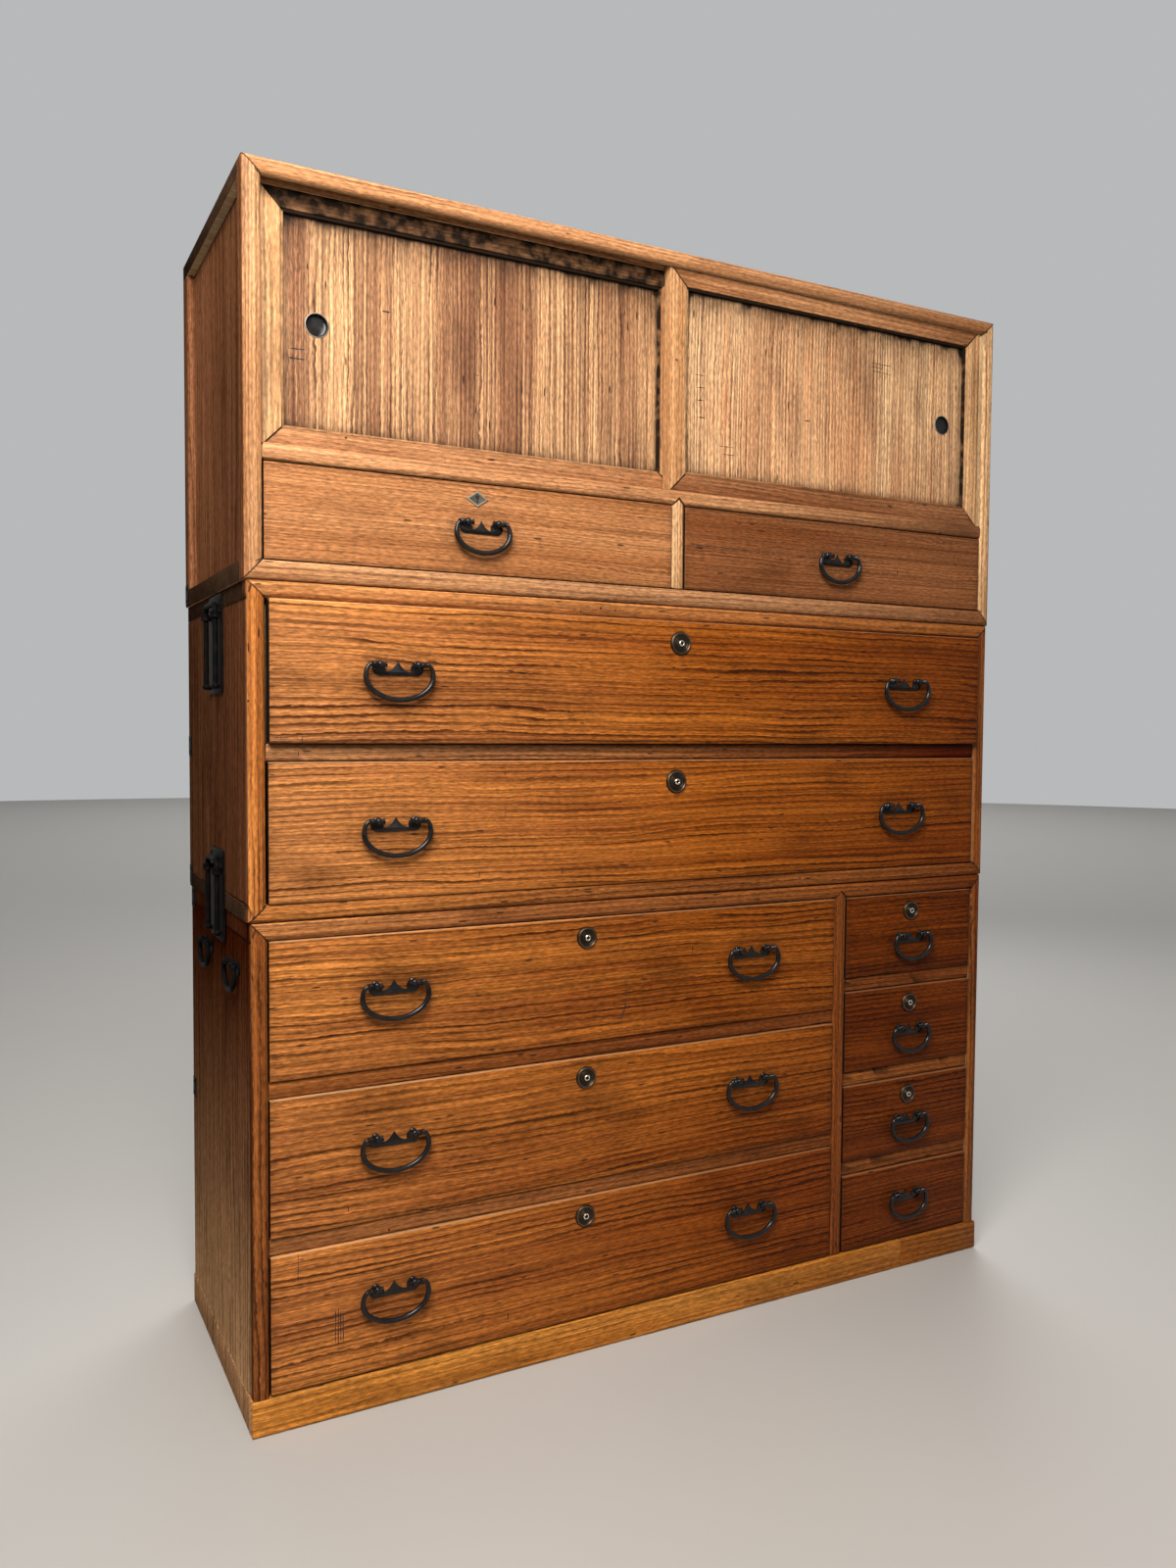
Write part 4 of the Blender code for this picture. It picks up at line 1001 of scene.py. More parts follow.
def gathered(grime_and_shade, away):
    """Dirt and painted shade that thin out with the distance from an edge. The first argument is (amount,
    reach).
    """
    amount, reach = grime_and_shade
    return amount * math.exp(-away / reach)


def cup_place(node):
    """The middle of a door's finger cup, on the panel near the outer edge of the door."""
    low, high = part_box(node)
    x = low.x + CUP_INSET if node == "left_door" else high.x - CUP_INSET
    return Vector((x, low.y + PANEL_SINK, (low.z + high.z) / 2))


def door_frame(node):
    """The mitred frame of a door with the bead inside it. Returns the rails and the stiles."""
    low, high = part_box(node)
    middle = (low + high) / 2
    rails, stiles = mitred_frame(low, high, FRAME_WIDTH - BEAD, FRAME_EDGE)
    bead_space = inner_space(low, high, FRAME_WIDTH - BEAD, low.y + BEAD_SINK, high.y)
    bead_rails, bead_stiles = mitred_frame(*bead_space, BEAD, FRAME_EDGE)
    # Painted shade in the beads, most on the top and on the right.
    soil_and_shade(bead_rails, lambda x, z: BEAD_RAIL_SHADE[z > middle.z])
    soil_and_shade(bead_stiles, lambda x, z: BEAD_STILE_SHADE[x > middle.x])
    for piece, axis, tones in ((rails, 2, RAIL_TONES[node]), (stiles, 0, STILE_TONES[node])):
        write(piece, "tone_and_shade", [tones[corner.co[axis] > middle[axis]] for corner in piece.data.vertices])
    # Painted shadow of the top board's lip across the top rail.
    for corner, mark in zip(rails.data.vertices, rails.data.attributes["grime_and_shade"].data):
        if corner.co.z > middle.z:
            mark.value = max(mark.value, TOP_RAIL_SHADOW[node])
    return joined(rails, bead_rails), joined(stiles, bead_stiles)


def door_panel(node):
    """The sunk panel of a door, with dirt and painted shade along its edges, drilled for the finger cup."""
    low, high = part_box(node)
    panel_space = inner_space(low, high, FRAME_WIDTH - PANEL_LAP, low.y + PANEL_SINK, high.y - PANEL_LAP)
    panel_low, panel_high = panel_space
    panel = grid_board(panel_low, panel_high, panel_high.y - panel_low.y, PANEL_EDGE)

    def dirt_and_shade(x, z):
        beside = min(x - panel_low.x, panel_high.x - x)
        top, foot = gathered(PANEL_TOP, panel_high.z - z), gathered(PANEL_FOOT, z - panel_low.z)
        return top + gathered(PANEL_SIDE, beside) + foot

    soil_and_shade(panel, dirt_and_shade)
    drill(panel, CUP_RADIUS - CUP_PLAY, CUP_DRILL, cup_place(node), (math.pi / 2, 0, 0), 48)
    number(panel)
    return panel


for node in ("left_door", "right_door"):
    rails, stiles = door_frame(node)
    paint(rails, PALE_RAIL_WOOD)
    paint(stiles, LIT_POST_WOOD)
    settle(rails, node + "_rails", node, "frame_wood", node)
    settle(stiles, node + "_stiles", node, "frame_wood")
    panel = door_panel(node)
    paint(panel, DOOR_WOOD if node == "left_door" else LIT_DOOR_WOOD)
    settle(panel, node + "_panel", node, "frame_wood")
print("pieces with doors:", len(settled))

# %% [markdown]
# ## Turned irons
# Eye posts, lock plates and finger cups are round. Each is drawn as half a section, corner by corner,
# and spun once round its axis, as on a lathe. The drawing stands on Z and is then laid down, so that it
# faces the front.

# %% Helpers for turned pieces
IRON_WELD = 0.002 * MM


def turned(section, steps, facing_front=True):
    """Spin a chain of (radius, height) corners in mm round Z, and lay it down to face -Y."""
    only()
    bpy.ops.mesh.primitive_plane_add(size=1 * MM)
    piece = bpy.context.object
    edit(piece)
    bpy.ops.mesh.merge(type="CENTER")
    corners = [(radius * MM, height * MM) for radius, height in section]
    radius, height = corners[0]
    bpy.ops.transform.translate(value=(radius, 0, height))
    for next_radius, next_height in corners[1:]:
        step = (next_radius - radius, 0, next_height - height)
        bpy.ops.mesh.extrude_region_move(TRANSFORM_OT_translate={"value": step})
        radius, height = next_radius, next_height
    bpy.ops.mesh.select_all(action="SELECT")
    bpy.ops.mesh.spin(steps=steps, angle=2 * math.pi, center=(0, 0, 0), axis=(0, 0, 1))
    bpy.ops.mesh.select_all(action="SELECT")
    bpy.ops.mesh.remove_doubles(threshold=IRON_WELD)
    bpy.ops.mesh.normals_make_consistent(inside=False)
    done()
    if facing_front:
        piece.rotation_euler = (math.pi / 2, 0, 0)
    apply_place(piece)
    return piece


def copied(pattern, place, turn=0.0):
    """A copy of a pattern piece with its own mesh, turned about Z and moved to its place."""
    only(pattern)
    bpy.ops.object.duplicate()
    piece = bpy.context.object
    piece.rotation_euler = (0, 0, turn)
    piece.location = place
    apply_place(piece)
    return piece


# %% Locks
LOCK_SECTION = [
    (0, 1.2), (2.4, 1.2), (2.4, 4.7), (2.8, 5.0), (3.7, 5.0), (4.2, 4.6), (4.2, 2.7), (5.8, 2.5),
    (6.2, 2.0), (6.7, 2.4), (9.6, 2.3), (10.0, 1.8), (10.5, 2.2), (12.6, 2.1), (13.3, 2.9), (14.0, 3.4),
    (15.0, 3.3), (16.0, 2.5), (16.8, 1.2), (17.0, 0.3), (17.0, -0.6), (0, -0.6)]
LOCKS = {"middle": (0.017, 0.032), "wide": (0.0155, 0.028), "small": (0.0155, 0.028)}
LOCK_SIZE, TUBE_SIZE, LOCK_RIM = 17.0, 5, (13.9, 15.1)
TUBE, HOLE = 4.3 * MM, 2.42 * MM
HALF_SLACK = 0.75 * MM


def from_middle(face):
    """How far a face lies from the axis of a turned piece that faces the front."""
    return math.hypot(*face.calc_center_median().xz)


def lock_pattern(radius):
    """A round plate of this radius. Its tube keeps its size."""
    share = radius / (LOCK_SIZE * MM)
    piece = turned([(r * share if r > TUBE_SIZE else r, h) for r, h in LOCK_SECTION], 48)
    paint(piece, LOCK_IRON, RUBBED_METAL, HOLLOW, WORN_IRON)
    rim = [edge * MM * share for edge in LOCK_RIM]
    paint_faces(piece, 1, lambda face: from_middle(face) < TUBE)
    paint_faces(piece, 3, lambda face: rim[0] < from_middle(face) < rim[1])
    # Painted shade: the inside of the keyhole tube is near black.
    paint_faces(piece, 2, lambda face: from_middle(face) < HOLE)
    paint_faces(piece, 0, lambda face: face.normal.y > 0.9)
    return piece


lock_patterns = {kind: lock_pattern(radius) for kind, (radius, _) in LOCKS.items()}
for node, kind in DRAWERS.items():
    if kind in LOCKS and node != "small_drawer_4":
        low, high = drawer_space(node)
        place = ((low.x + high.x) / 2, low.y, high.z + HALF_SLACK - LOCKS[kind][1])
        settle(copied(lock_patterns[kind], place), node + "_lock", node, "iron")
print("locks:", sum("_lock" in piece.name for piece in settled))

# %% Finger cups
CUP_SECTION = [
    (0, -3.8), (10.4, -3.8), (12.2, -3.2), (12.9, -1.8), (13.0, 0.4), (13.4, 1.0), (14.3, 1.2), (15.2, 0.8),
    (15.5, 0.0), (15.1, -0.2), (15.0, -4.6), (0, -4.6)]
CUP_RIM = 14.2 * MM
cup = turned(CUP_SECTION, 48)
paint(cup, BLACK_IRON, RIM_METAL)
paint_faces(cup, 1, lambda face: from_middle(face) > CUP_RIM and face.normal.y < -0.2)
for node in ("left_door", "right_door"):
    settle(copied(cup, cup_place(node)), node + "_cup", node, "iron")
print("pieces with locks and cups:", len(settled))

# %% [markdown]
# ## Bail pulls
# The pulls are the chest's best irons. A plate with a straight lower edge rises to a peak between two
# round lobes. On each lobe stands an eye post with a round head, and the bail's arms turn inwards
# through the two eyes and end in knobs. The plate is cut from a closed outline, a flat curve with a
# thickness. The bail is a curve too, with a radius at each point, so that its arms can carry beads and
# its middle can be thicker, as if forged.

# %% Plate with two eye posts
PULLS = {
    "large": dict(width=0.095, drop=0.0475, shoulder=0.0145, corner=0.0075, post_x=0.025, peak=0.0045),
    "small": dict(width=0.082, drop=0.0425, shoulder=0.0130, corner=0.0070, post_x=0.0215, peak=0.0040),
    "side": dict(width=0.070, drop=0.0360, shoulder=0.0110, corner=0.0065, post_x=0.0190, peak=0.0035),
}
LOBE, LOBE_SWEEP, LOBE_STEPS, SHOULDER_STEPS, SHOULDER_LEAN = 0.0085, 295, 22, 12, 0.6
PLATE_DROP, PLATE_THICKNESS, PLATE_EDGE, STANDOFF = 0.0135, 0.002, 0.4 * MM, 0.009
EYE_RADIUS, EYE_DRILL = 0.0034, 0.03
POST_SECTION = [
    (0, -0.6), (5.0, -0.6), (5.0, 2.2), (4.4, 2.9), (3.4, 3.3), (3.2, 4.4), (3.9, 5.4), (4.5, 6.8),
    (4.7, 8.2), (4.7, 9.6), (4.3, 11.0), (3.2, 12.2), (1.8, 12.9), (0, 13.1)]


def welded_mesh(name, line):
    """Put a curve in the scene, turn it into a mesh and close its seams."""
    piece = bpy.data.objects.new(name, line)
    bpy.context.collection.objects.link(piece)
    only(piece)
    bpy.ops.object.convert(target="MESH")
    edit(piece)
    bpy.ops.mesh.remove_doubles(threshold=IRON_WELD)
    bpy.ops.mesh.normals_make_consistent(inside=False)
    done()
    return piece


def outline_curve(name, outline, thickness, edge):
    """A plate cut to a closed outline in X and Z, its back at y = 0 and its edges eased."""
    line = bpy.data.curves.new(name, "CURVE")
    line.dimensions, line.fill_mode = "2D", "BOTH"
    line.extrude, line.bevel_depth, line.bevel_resolution = thickness / 2 - edge, edge, 1
    line.offset = -edge
    spline = line.splines.new("POLY")
    spline.points.add(len(outline) - 1)
    for point, (x, z) in zip(spline.points, outline):
        point.co = (x, z, 0, 1)
    spline.use_cyclic_u = True
    piece = welded_mesh(name, line)
    piece.rotation_euler = (math.pi / 2, 0, 0)
    piece.location = (0, -thickness / 2, 0)
    apply_place(piece)
    return piece


def pull_outline(post_x, peak):
    """Straight lower edge, a round lobe under each eye and concave shoulders that rise to the peak."""
    lobe_z = LOBE - PLATE_DROP
    half = []
    for i in range(LOBE_STEPS + 1):
        angle = math.radians(-90 + LOBE_SWEEP * i / LOBE_STEPS)
        half.append((post_x + LOBE * math.cos(angle), lobe_z + LOBE * math.sin(angle)))
    valley_x, valley_z = half[-1]
    for i in range(1, SHOULDER_STEPS):
        t = i / SHOULDER_STEPS
        rise = (SHOULDER_LEAN * t + (1 - SHOULDER_LEAN) * t * t) * t
        half.append(((1 - t) * valley_x, valley_z + rise * (peak - valley_z)))
    return half + [(0.0, peak)] + [(-x, z) for x, z in half[::-1]]


def pull_pattern(name, post_x, peak, **_):
    """A plate with an eye post on each lobe. The eyes are drilled along X."""
    plate = outline_curve(name, pull_outline(post_x, peak), PLATE_THICKNESS, PLATE_EDGE)
    post = turned(POST_SECTION, 24)
    drill(post, EYE_RADIUS, EYE_DRILL, (0, -STANDOFF, 0), (0, math.pi / 2, 0), 24)
    piece = joined(plate, copied(post, (-post_x, 0, 0)), copied(post, (post_x, 0, 0)))
    bpy.data.objects.remove(post)
    paint(piece, BLACK_IRON)
    return piece


pull_patterns = {size: pull_pattern(size + "_plate", **form) for size, form in PULLS.items()}
print("pull plates, corners:", {size: len(piece.data.vertices) for size, piece in pull_patterns.items()})

# %% Helpers for rods
def rod(name, points, radii, depth, sides=4):
    """A round rod along points, with its own radius at each point."""
    line = bpy.data.curves.new(name, "CURVE")
    line.dimensions = "3D"
    line.bevel_depth, line.bevel_resolution, line.use_fill_caps = depth, sides, True
    spline = line.splines.new("POLY")
    spline.points.add(len(points) - 1)
    for point, place, radius in zip(spline.points, points, radii):
        point.co, point.radius = (*place, 1), radius / depth
    return welded_mesh(name, line)


def evenly(points, gap):
    """The same line with its points a fixed gap apart, and how far each lies along it."""
    lengths = [0.0]
    for a, b in zip(points, points[1:]):
        lengths.append(lengths[-1] + (Vector(b) - Vector(a)).length)
    count = round(lengths[-1] / gap)
    even, along, i = [], [], 0
    for k in range(count + 1):
        target = lengths[-1] * k / count
        while i < len(lengths) - 2 and lengths[i + 1] < target:
            i += 1
        share = (target - lengths[i]) / max(lengths[i + 1] - lengths[i], 1e-9)
        even.append(Vector(points[i]).lerp(Vector(points[i + 1]), min(1.0, share)))
        along.append(target)
    return even, along


# %% Forged bail
BAIL_RADIUS, ARM_RADIUS, POST_HEAD, PAST_POST = 0.0034, 0.0026, 0.0055, 2.8 * MM
KNOB_RADIUS, KNOB_END, KNOB_MIDDLE, KNOB_HALF = 0.0040, 2.6 * MM, 1.3 * MM, 1.5 * MM
BEADS_AT, BEAD_HEIGHT, BEAD_HALF = (14.4 * MM, 17.0 * MM, 19.6 * MM), 1.5 * MM, 1.0 * MM
KNOB_BLUNT, SWELL_FROM, SWELL_RATE = 0.2, 20 * MM, 4
CORNER_STEPS, LOOP_STEPS, BAIL_STEP = 12, 48, 0.6 * MM


def bail_line(width, drop, shoulder, corner, post_x, **_):
    """Middle line of a bail: arm, corner, loop, corner, arm, in the plane y = 0."""
    half = width / 2 - BAIL_RADIUS
    arm = half - corner
    side = [(post_x - POST_HEAD - PAST_POST, 0, 0), (arm, 0, 0)]
    for i in range(1, CORNER_STEPS + 1):
        angle = math.pi / 2 * i / CORNER_STEPS
        side.append((arm + corner * math.sin(angle), 0, -shoulder * (1 - math.cos(angle))))
    depth = drop - BAIL_RADIUS - shoulder
    loop = []
    for i in range(1, LOOP_STEPS):
        angle = math.pi * i / LOOP_STEPS
        loop.append((-half * math.cos(angle), 0, -shoulder - depth * math.sin(angle)))
    return [(-x, y, z) for x, y, z in side] + loop + side[::-1]


def bail_radius(end, middle):
    """Radius by the distance from the nearer end: knob, arm, three beads, then the swelling loop."""
    if end < KNOB_END:
        ball = (end - KNOB_MIDDLE) / KNOB_HALF
        return KNOB_RADIUS * math.sqrt(max(KNOB_BLUNT, 1 - ball * ball))
    beads = sum(BEAD_HEIGHT * math.exp(-((end - at) / BEAD_HALF) ** 2) for at in BEADS_AT)
    swell = min(1.0, max(0.0, (end - SWELL_FROM) / (middle - SWELL_FROM)))
    return ARM_RADIUS + beads + (BAIL_RADIUS - ARM_RADIUS) * min(1.0, SWELL_RATE * swell)


def bail_pattern(name, **form):
    """A bail that hangs from the origin, with its arms along X."""
    points, along = evenly(bail_line(**form), BAIL_STEP)
    total = along[-1]
    radii = [bail_radius(min(s, total - s), total / 2) for s in along]
    piece = rod(name, points, radii, BAIL_RADIUS)
    paint(piece, BLACK_IRON)
    return piece


bail_patterns = {size: bail_pattern(size + "_bail", **form) for size, form in PULLS.items()}
print("bails, corners:", {size: len(piece.data.vertices) for size, piece in bail_patterns.items()})

# %% Hang the pulls
SIZES = {"wide": "large", "middle": "large", "small": "small", "upper": "small"}
HANDS = (("left", -math.pi / 2, -1), ("right", math.pi / 2, 1))
for node, kind in DRAWERS.items():
    size = SIZES[kind]
    for bail in bails_of(node):
        axis = hinges[bail]
        pull = copied(pull_patterns[size], axis + Vector((0, STANDOFF, 0)))
        settle(pull, bail.replace("bail", "pull"), node, "iron")
        settle(copied(bail_patterns[size], axis), bail + "_ring", bail, "iron", bail)

for hand, turn, sign in HANDS:
    for end in ("front", "back"):
        bail = f"{hand}_side_bail_{end}"
        axis = hinges[bail]
        pull = copied(pull_patterns["side"], axis - Vector((sign * STANDOFF, 0, 0)), turn)
        ring = copied(bail_patterns["side"], axis, turn)
        for piece in (pull, ring):
            paint(piece, SIDE_IRON)
        settle(pull, f"{hand}_side_pull_{end}", "lower_case", "iron")
        settle(ring, bail + "_ring", bail, "iron", bail)
print("pieces with pulls:", len(settled))

# %% Diamond plate
DIAMOND, DIAMOND_THICKNESS, DIAMOND_EDGE = (0.0155, 0.0105), 1.5 * MM, 0.3 * MM
DIAMOND_RIM, DIAMOND_SINK, DIAMOND_FIELD = 2.2 * MM, -0.5 * MM, 40 * MM * MM
DIAMOND_DROP, DIAMOND_SHIFT, DIAMOND_SHARP = 0.0205, -0.0115, math.radians(25)
KEYHOLE_RADIUS, KEYHOLE_RISE, KEYHOLE_DRILL = 3.1 * MM, 1.8 * MM, 0.01
SLOT_HALF, SLOT_FOOT, SLOT_HEAD = 1.3 * MM, -5.6 * MM, 2.0 * MM
BACKING_HALF, BACKING_DEPTH, BACKING_FOOT, BACKING_HEAD = 3 * MM, 0.3 * MM, -6 * MM, 5 * MM


def diamond_plate():
    """A diamond with a sunk field and a keyhole, which is a drilled hole over a sawn slot."""
    only()
    bpy.ops.mesh.primitive_circle_add(vertices=4, radius=1.0, fill_type="NGON", rotation=(math.pi / 2, 0, 0))
    piece = bpy.context.object
    piece.scale = (DIAMOND[0], DIAMOND[1], 1)
    apply_place(piece)
    modify(piece, "SOLIDIFY", thickness=DIAMOND_THICKNESS, offset=1)
    edit(piece)
    choose(piece, "FACE", lambda face: face.normal.y < -0.9)
    bpy.ops.mesh.inset(thickness=DIAMOND_RIM, depth=DIAMOND_SINK)
    done()
    modify(piece, "BEVEL", width=DIAMOND_EDGE, segments=2, limit_method="ANGLE", angle_limit=DIAMOND_SHARP)
    drill(piece, KEYHOLE_RADIUS, KEYHOLE_DRILL, (0, 0, KEYHOLE_RISE), (math.pi / 2, 0, 0), 24)
    reach = KEYHOLE_DRILL / 2
    saw = block((-SLOT_HALF, -reach, SLOT_FOOT), (SLOT_HALF, reach, SLOT_HEAD))
    modify(piece, "BOOLEAN", object=saw, operation="DIFFERENCE", solver="EXACT")
    bpy.data.objects.remove(saw)
    # Painted shade: a black block behind the keyhole, where the hole is in shade.
    backing = block(
        (-BACKING_HALF, -BACKING_DEPTH, BACKING_FOOT), (BACKING_HALF, BACKING_DEPTH, BACKING_HEAD))
    paint(piece, RIM_METAL, WORN_IRON)
    paint_faces(piece, 1, lambda face: face.normal.y < -0.9 and face.calc_area() > DIAMOND_FIELD)
    paint(backing, HOLLOW)
    return joined(piece, backing)


low, high = drawer_space("upper_left_drawer")
diamond = diamond_plate()
diamond.location = ((low.x + high.x) / 2 + DIAMOND_SHIFT, low.y, high.z + HALF_SLACK - DIAMOND_DROP)
apply_place(diamond)
settle(diamond, "upper_left_drawer_keyhole", "upper_left_drawer", "iron")
print("keyhole plate, mm:", [round(side / MM) for side in diamond.dimensions])

# %% [markdown]
# ## Cracks and nicks
# A chest this old has a long crack in one drawer front, and knocks have left nicks in others. Each is a
# thin rod that tapers to both ends, pressed flat and let into the surface, so that only a dark line
# shows. Their places were read off the picture and are given in millimetres.

# %% Let in the cracks
CRACKS = {
    "upper_right_drawer": [(0.7, [(20, 1142), (120, 1140.6), (253, 1138.6), (330, 1139.6), (397, 1140)])],
    "middle_drawer_1": [
        (0.8, [(-579.6, 863.2), (-557.3, 863.3)]), (0.9, [(-579.6, 858.7), (-563, 858.6)]),
        (0.7, [(-541.3, 866.7), (-541.6, 856)])],
    "middle_rail": [(0.6, [(-543.1, 847.0), (-543.3, 839)])],
    "middle_drawer_2": [
        (0.5, [(-267.5, 775.6), (-267.5, 755.2)]), (0.6, [(-304.5, 687.7), (-304.5, 678.6)]),
        (0.5, [(-255.6, 716.9), (-255.6, 709.0)])],
    "wide_drawer_1": [
        (1.2, [(-80, 488.6), (-83, 478), (-86.3, 469.3), (-96, 466.8)]),
        (0.3, [(-81.1, 527.6), (-80.5, 490)])],
    "wide_drawer_3": [
        (0.8, [(-499.8, 139), (-500, 96)]), (0.9, [(-496.2, 141), (-496.5, 93)]),
        (0.9, [(-493.2, 136), (-493, 97)]), (0.7, [(-490.4, 131), (-490, 95)]),
        (0.5, [(-546.7, 222), (-546.9, 184)]), (1.1, [(-546, 213.5), (-539, 213.2)]),
        (0.4, [(-406.8, 201), (-406.8, 183)]), (0.6, [(-413.5, 84.3), (-414, 77.8)])],
    "left_door": [(1.1, [(-546, 1341.5), (-524, 1342.5)]), (1.5, [(-546, 1330), (-524.5, 1330.3)])],
    "right_door": [
        (0.7, [(361.2, 1453), (400, 1452.8)]), (0.7, [(361.5, 1447), (384, 1446.6)]),
        (0.7, [(361.5, 1441), (403, 1439.5)]), (0.6, [(33, 1388), (54, 1388)]),
        (0.6, [(36, 1370), (53, 1371)]), (0.8, [(35, 1352), (52, 1352.6)]),
        (0.7, [(76, 1291), (104, 1291.3)]), (0.7, [(81.5, 1280), (106, 1280)])],
}
PRESSED, CRACK_STEP, TAPER, TIP, THINNEST, WOBBLE = 0.2, 2 * MM, 4 * MM, 0.2, 0.35, 0.3


def crack(half_width, points, face):
    """One dark line on a surface that faces the front at y = face."""
    places = [Vector((x * MM + random.uniform(-WOBBLE, WOBBLE) * MM, 0, z * MM)) for x, z in points]
    line, along = evenly(places, CRACK_STEP)
    radii = []
    for s in along:
        taper = min(1.0, TIP + min(s, along[-1] - s) / TAPER)
        radii.append(half_width * MM * taper * random.uniform(THINNEST, 1.0))
    piece = rod("crack", line, radii, half_width * MM, 2)
    piece.scale = (1, PRESSED, 1)
    piece.location = (0, face, 0)
    apply_place(piece)
    return piece


def surface_of(node):
    """Where the front of a cracked board lies on Y."""
    if node in DRAWERS:
        return drawer_space(node)[0].y
    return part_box(node)[0].y + (PANEL_SINK if "door" in node else 0)


for node, lines in CRACKS.items():
    face = surface_of(node)
    cracks = joined(*[crack(half_width, points, face) for half_width, points in lines])
    paint(cracks, HOLLOW)
    settle(cracks, node + "_cracks", "middle_case" if node == "middle_rail" else node, "drawer_wood")
print("cracked boards:", len(CRACKS))

# %% [markdown]
# ## Carrying bars
# On each side of the middle case two iron bars slide up in their collars, so that two people can
# lift the case by a pole. Each bar hangs on a nailed plate. The bar is a rod bent to an upside-down U
# with a round foot on each leg, and a collar is a short turned tube.

# %% Bars, plates and collars
BARS = {"upper": (0.9195, 0.130, 0.114), "lower": (0.5930, 0.121, 0.103)}
BAR_PLATE_DEPTH, BAR_PLATE_THICKNESS, BAR_STANDOFF = 0.086, 0.0025, 0.0085
BAR_TOP_DROP, LEG_SPACING, BAR_BEND, BAR_RADIUS = 0.013, 0.064, 0.010, 0.0035
FOOT_RADIUS, FOOT_MIDDLE, FOOT_HALF, FOOT_END, FOOT_TIP = 5.5 * MM, 3.5 * MM, 4.2 * MM, 4 * MM, 2.2 * MM
BAR_PLATE_EDGE, BAR_PLATE_CORNER, BAR_STEP, NAIL_INSET = 0.5 * MM, 4 * MM, 0.8 * MM, 8 * MM
COLLAR_CLEAR = 0.3 * MM
COLLAR_SECTION = [
    (4.2, 0), (6.6, 0), (7.0, -0.5), (6.6, -1.2), (6.6, -6.8), (7.0, -7.5), (6.6, -8.0), (4.2, -8.0),
    (4.2, 0)]
NAIL_SECTION = [(0, -0.5), (2.6, -0.5), (2.6, 0.1), (2.2, 0.7), (1.2, 1.1), (0, 1.2)]
nail = turned(NAIL_SECTION, 16)
collar = turned(COLLAR_SECTION, 28, facing_front=False)


def clipped_outline(half, foot, head, clip):
    """An upright plate with its four corners cut off, as corners in X and Z."""
    corners = [(half - clip, foot), (half, foot + clip), (half, head - clip), (half - clip, head)]
    return corners + [(-x, z) for x, z in corners[::-1]]


def bar_plate(height):
    """Plate with cut corners, two collars and four nails, facing -Y with its lower edge at z = 0."""
    half = BAR_PLATE_DEPTH / 2
    outline = clipped_outline(half, 0, height, BAR_PLATE_CORNER)
    pieces = [outline_curve("bar_plate", outline, BAR_PLATE_THICKNESS, BAR_PLATE_EDGE)]
    collar_top = height - BAR_TOP_DROP - BAR_BEND - COLLAR_CLEAR
    for side in (-1, 1):
        pieces.append(copied(collar, (side * LEG_SPACING / 2, -BAR_STANDOFF, collar_top)))
        for z in (NAIL_INSET, height - NAIL_INSET):
            pieces.append(copied(nail, (side * (half - NAIL_INSET), -BAR_PLATE_THICKNESS, z)))
    piece = joined(*pieces)
    paint(piece, SIDE_IRON)
    return piece


def bar_pattern(name, bar_height):
    """A bent rod whose top is at z = 0."""
    half = LEG_SPACING / 2
    leg = [(half, 0, BAR_RADIUS - bar_height)]
    for i in range(CORNER_STEPS + 1):
        angle = math.pi / 2 * i / CORNER_STEPS
        leg.append((half - BAR_BEND * (1 - math.cos(angle)), 0, BAR_BEND * (math.sin(angle) - 1)))
    points, along = evenly(leg + [(-x, y, z) for x, y, z in leg[::-1]], BAR_STEP)
    radii = []
    for s in along:
        end = min(s, along[-1] - s)
        ball = (end - FOOT_MIDDLE) / FOOT_HALF
        foot = FOOT_RADIUS * math.sqrt(max(0.0, 1 - ball * ball))
        radii.append(max(BAR_RADIUS if end > FOOT_END else FOOT_TIP, foot))
    piece = rod(name, points, radii, BAR_RADIUS)
    paint(piece, SIDE_IRON)
    return piece


for level, (plate_low, plate_height, bar_height) in BARS.items():
    plate = bar_plate(plate_height)
    bar = bar_pattern(level + "_bar", bar_height)
    low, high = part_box(f"left_carrying_bar_{level}")
    centre = (low.y + high.y) / 2
    top = plate_low + plate_height - BAR_TOP_DROP
    for hand, turn, sign in HANDS:
        node = f"{hand}_carrying_bar_{level}"
        holder = copied(plate, (sign * MIDDLE_HALF, centre, plate_low), turn)
        settle(holder, node + "_plate", "middle_case", "iron")
        rod_piece = copied(bar, (sign * (MIDDLE_HALF + BAR_STANDOFF), centre, top), turn)
        settle(rod_piece, node + "_rod", node, "iron", node)
    bpy.data.objects.remove(plate)
    bpy.data.objects.remove(bar)
print("pieces with bars:", len(settled))

# %% [markdown]
# ## Edge irons
# Small nailed plates hold the back edges of the sides. One plate is cut and nailed, and copies sit at
# the heights where the picture shows them.

# %% Nail on the edge irons
UPPER_HALF = 0.6085
EDGE_IRON_WIDTH, EDGE_IRON_HEIGHT, EDGE_IRON_THICKNESS = 0.022, 0.030, 0.8 * MM
EDGE_IRON_CORNER, EDGE_IRON_EASED, EDGE_IRON_INSET, EDGE_NAIL = 2 * MM, 0.2 * MM, 1 * MM, 9 * MM
EDGE_IRONS = {
    "lower": (LOWER_HALF, (0.334, 0.6215)),
    "middle": (MIDDLE_HALF, (0.656, 0.848)),
    "upper": (UPPER_HALF, (1.0705,))}
back_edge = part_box("lower_left_side")[1].y
half, rise = EDGE_IRON_WIDTH / 2, EDGE_IRON_HEIGHT / 2
outline = clipped_outline(half, -rise, rise, EDGE_IRON_CORNER)
edge_plate = outline_curve("edge_iron", outline, EDGE_IRON_THICKNESS, EDGE_IRON_EASED)
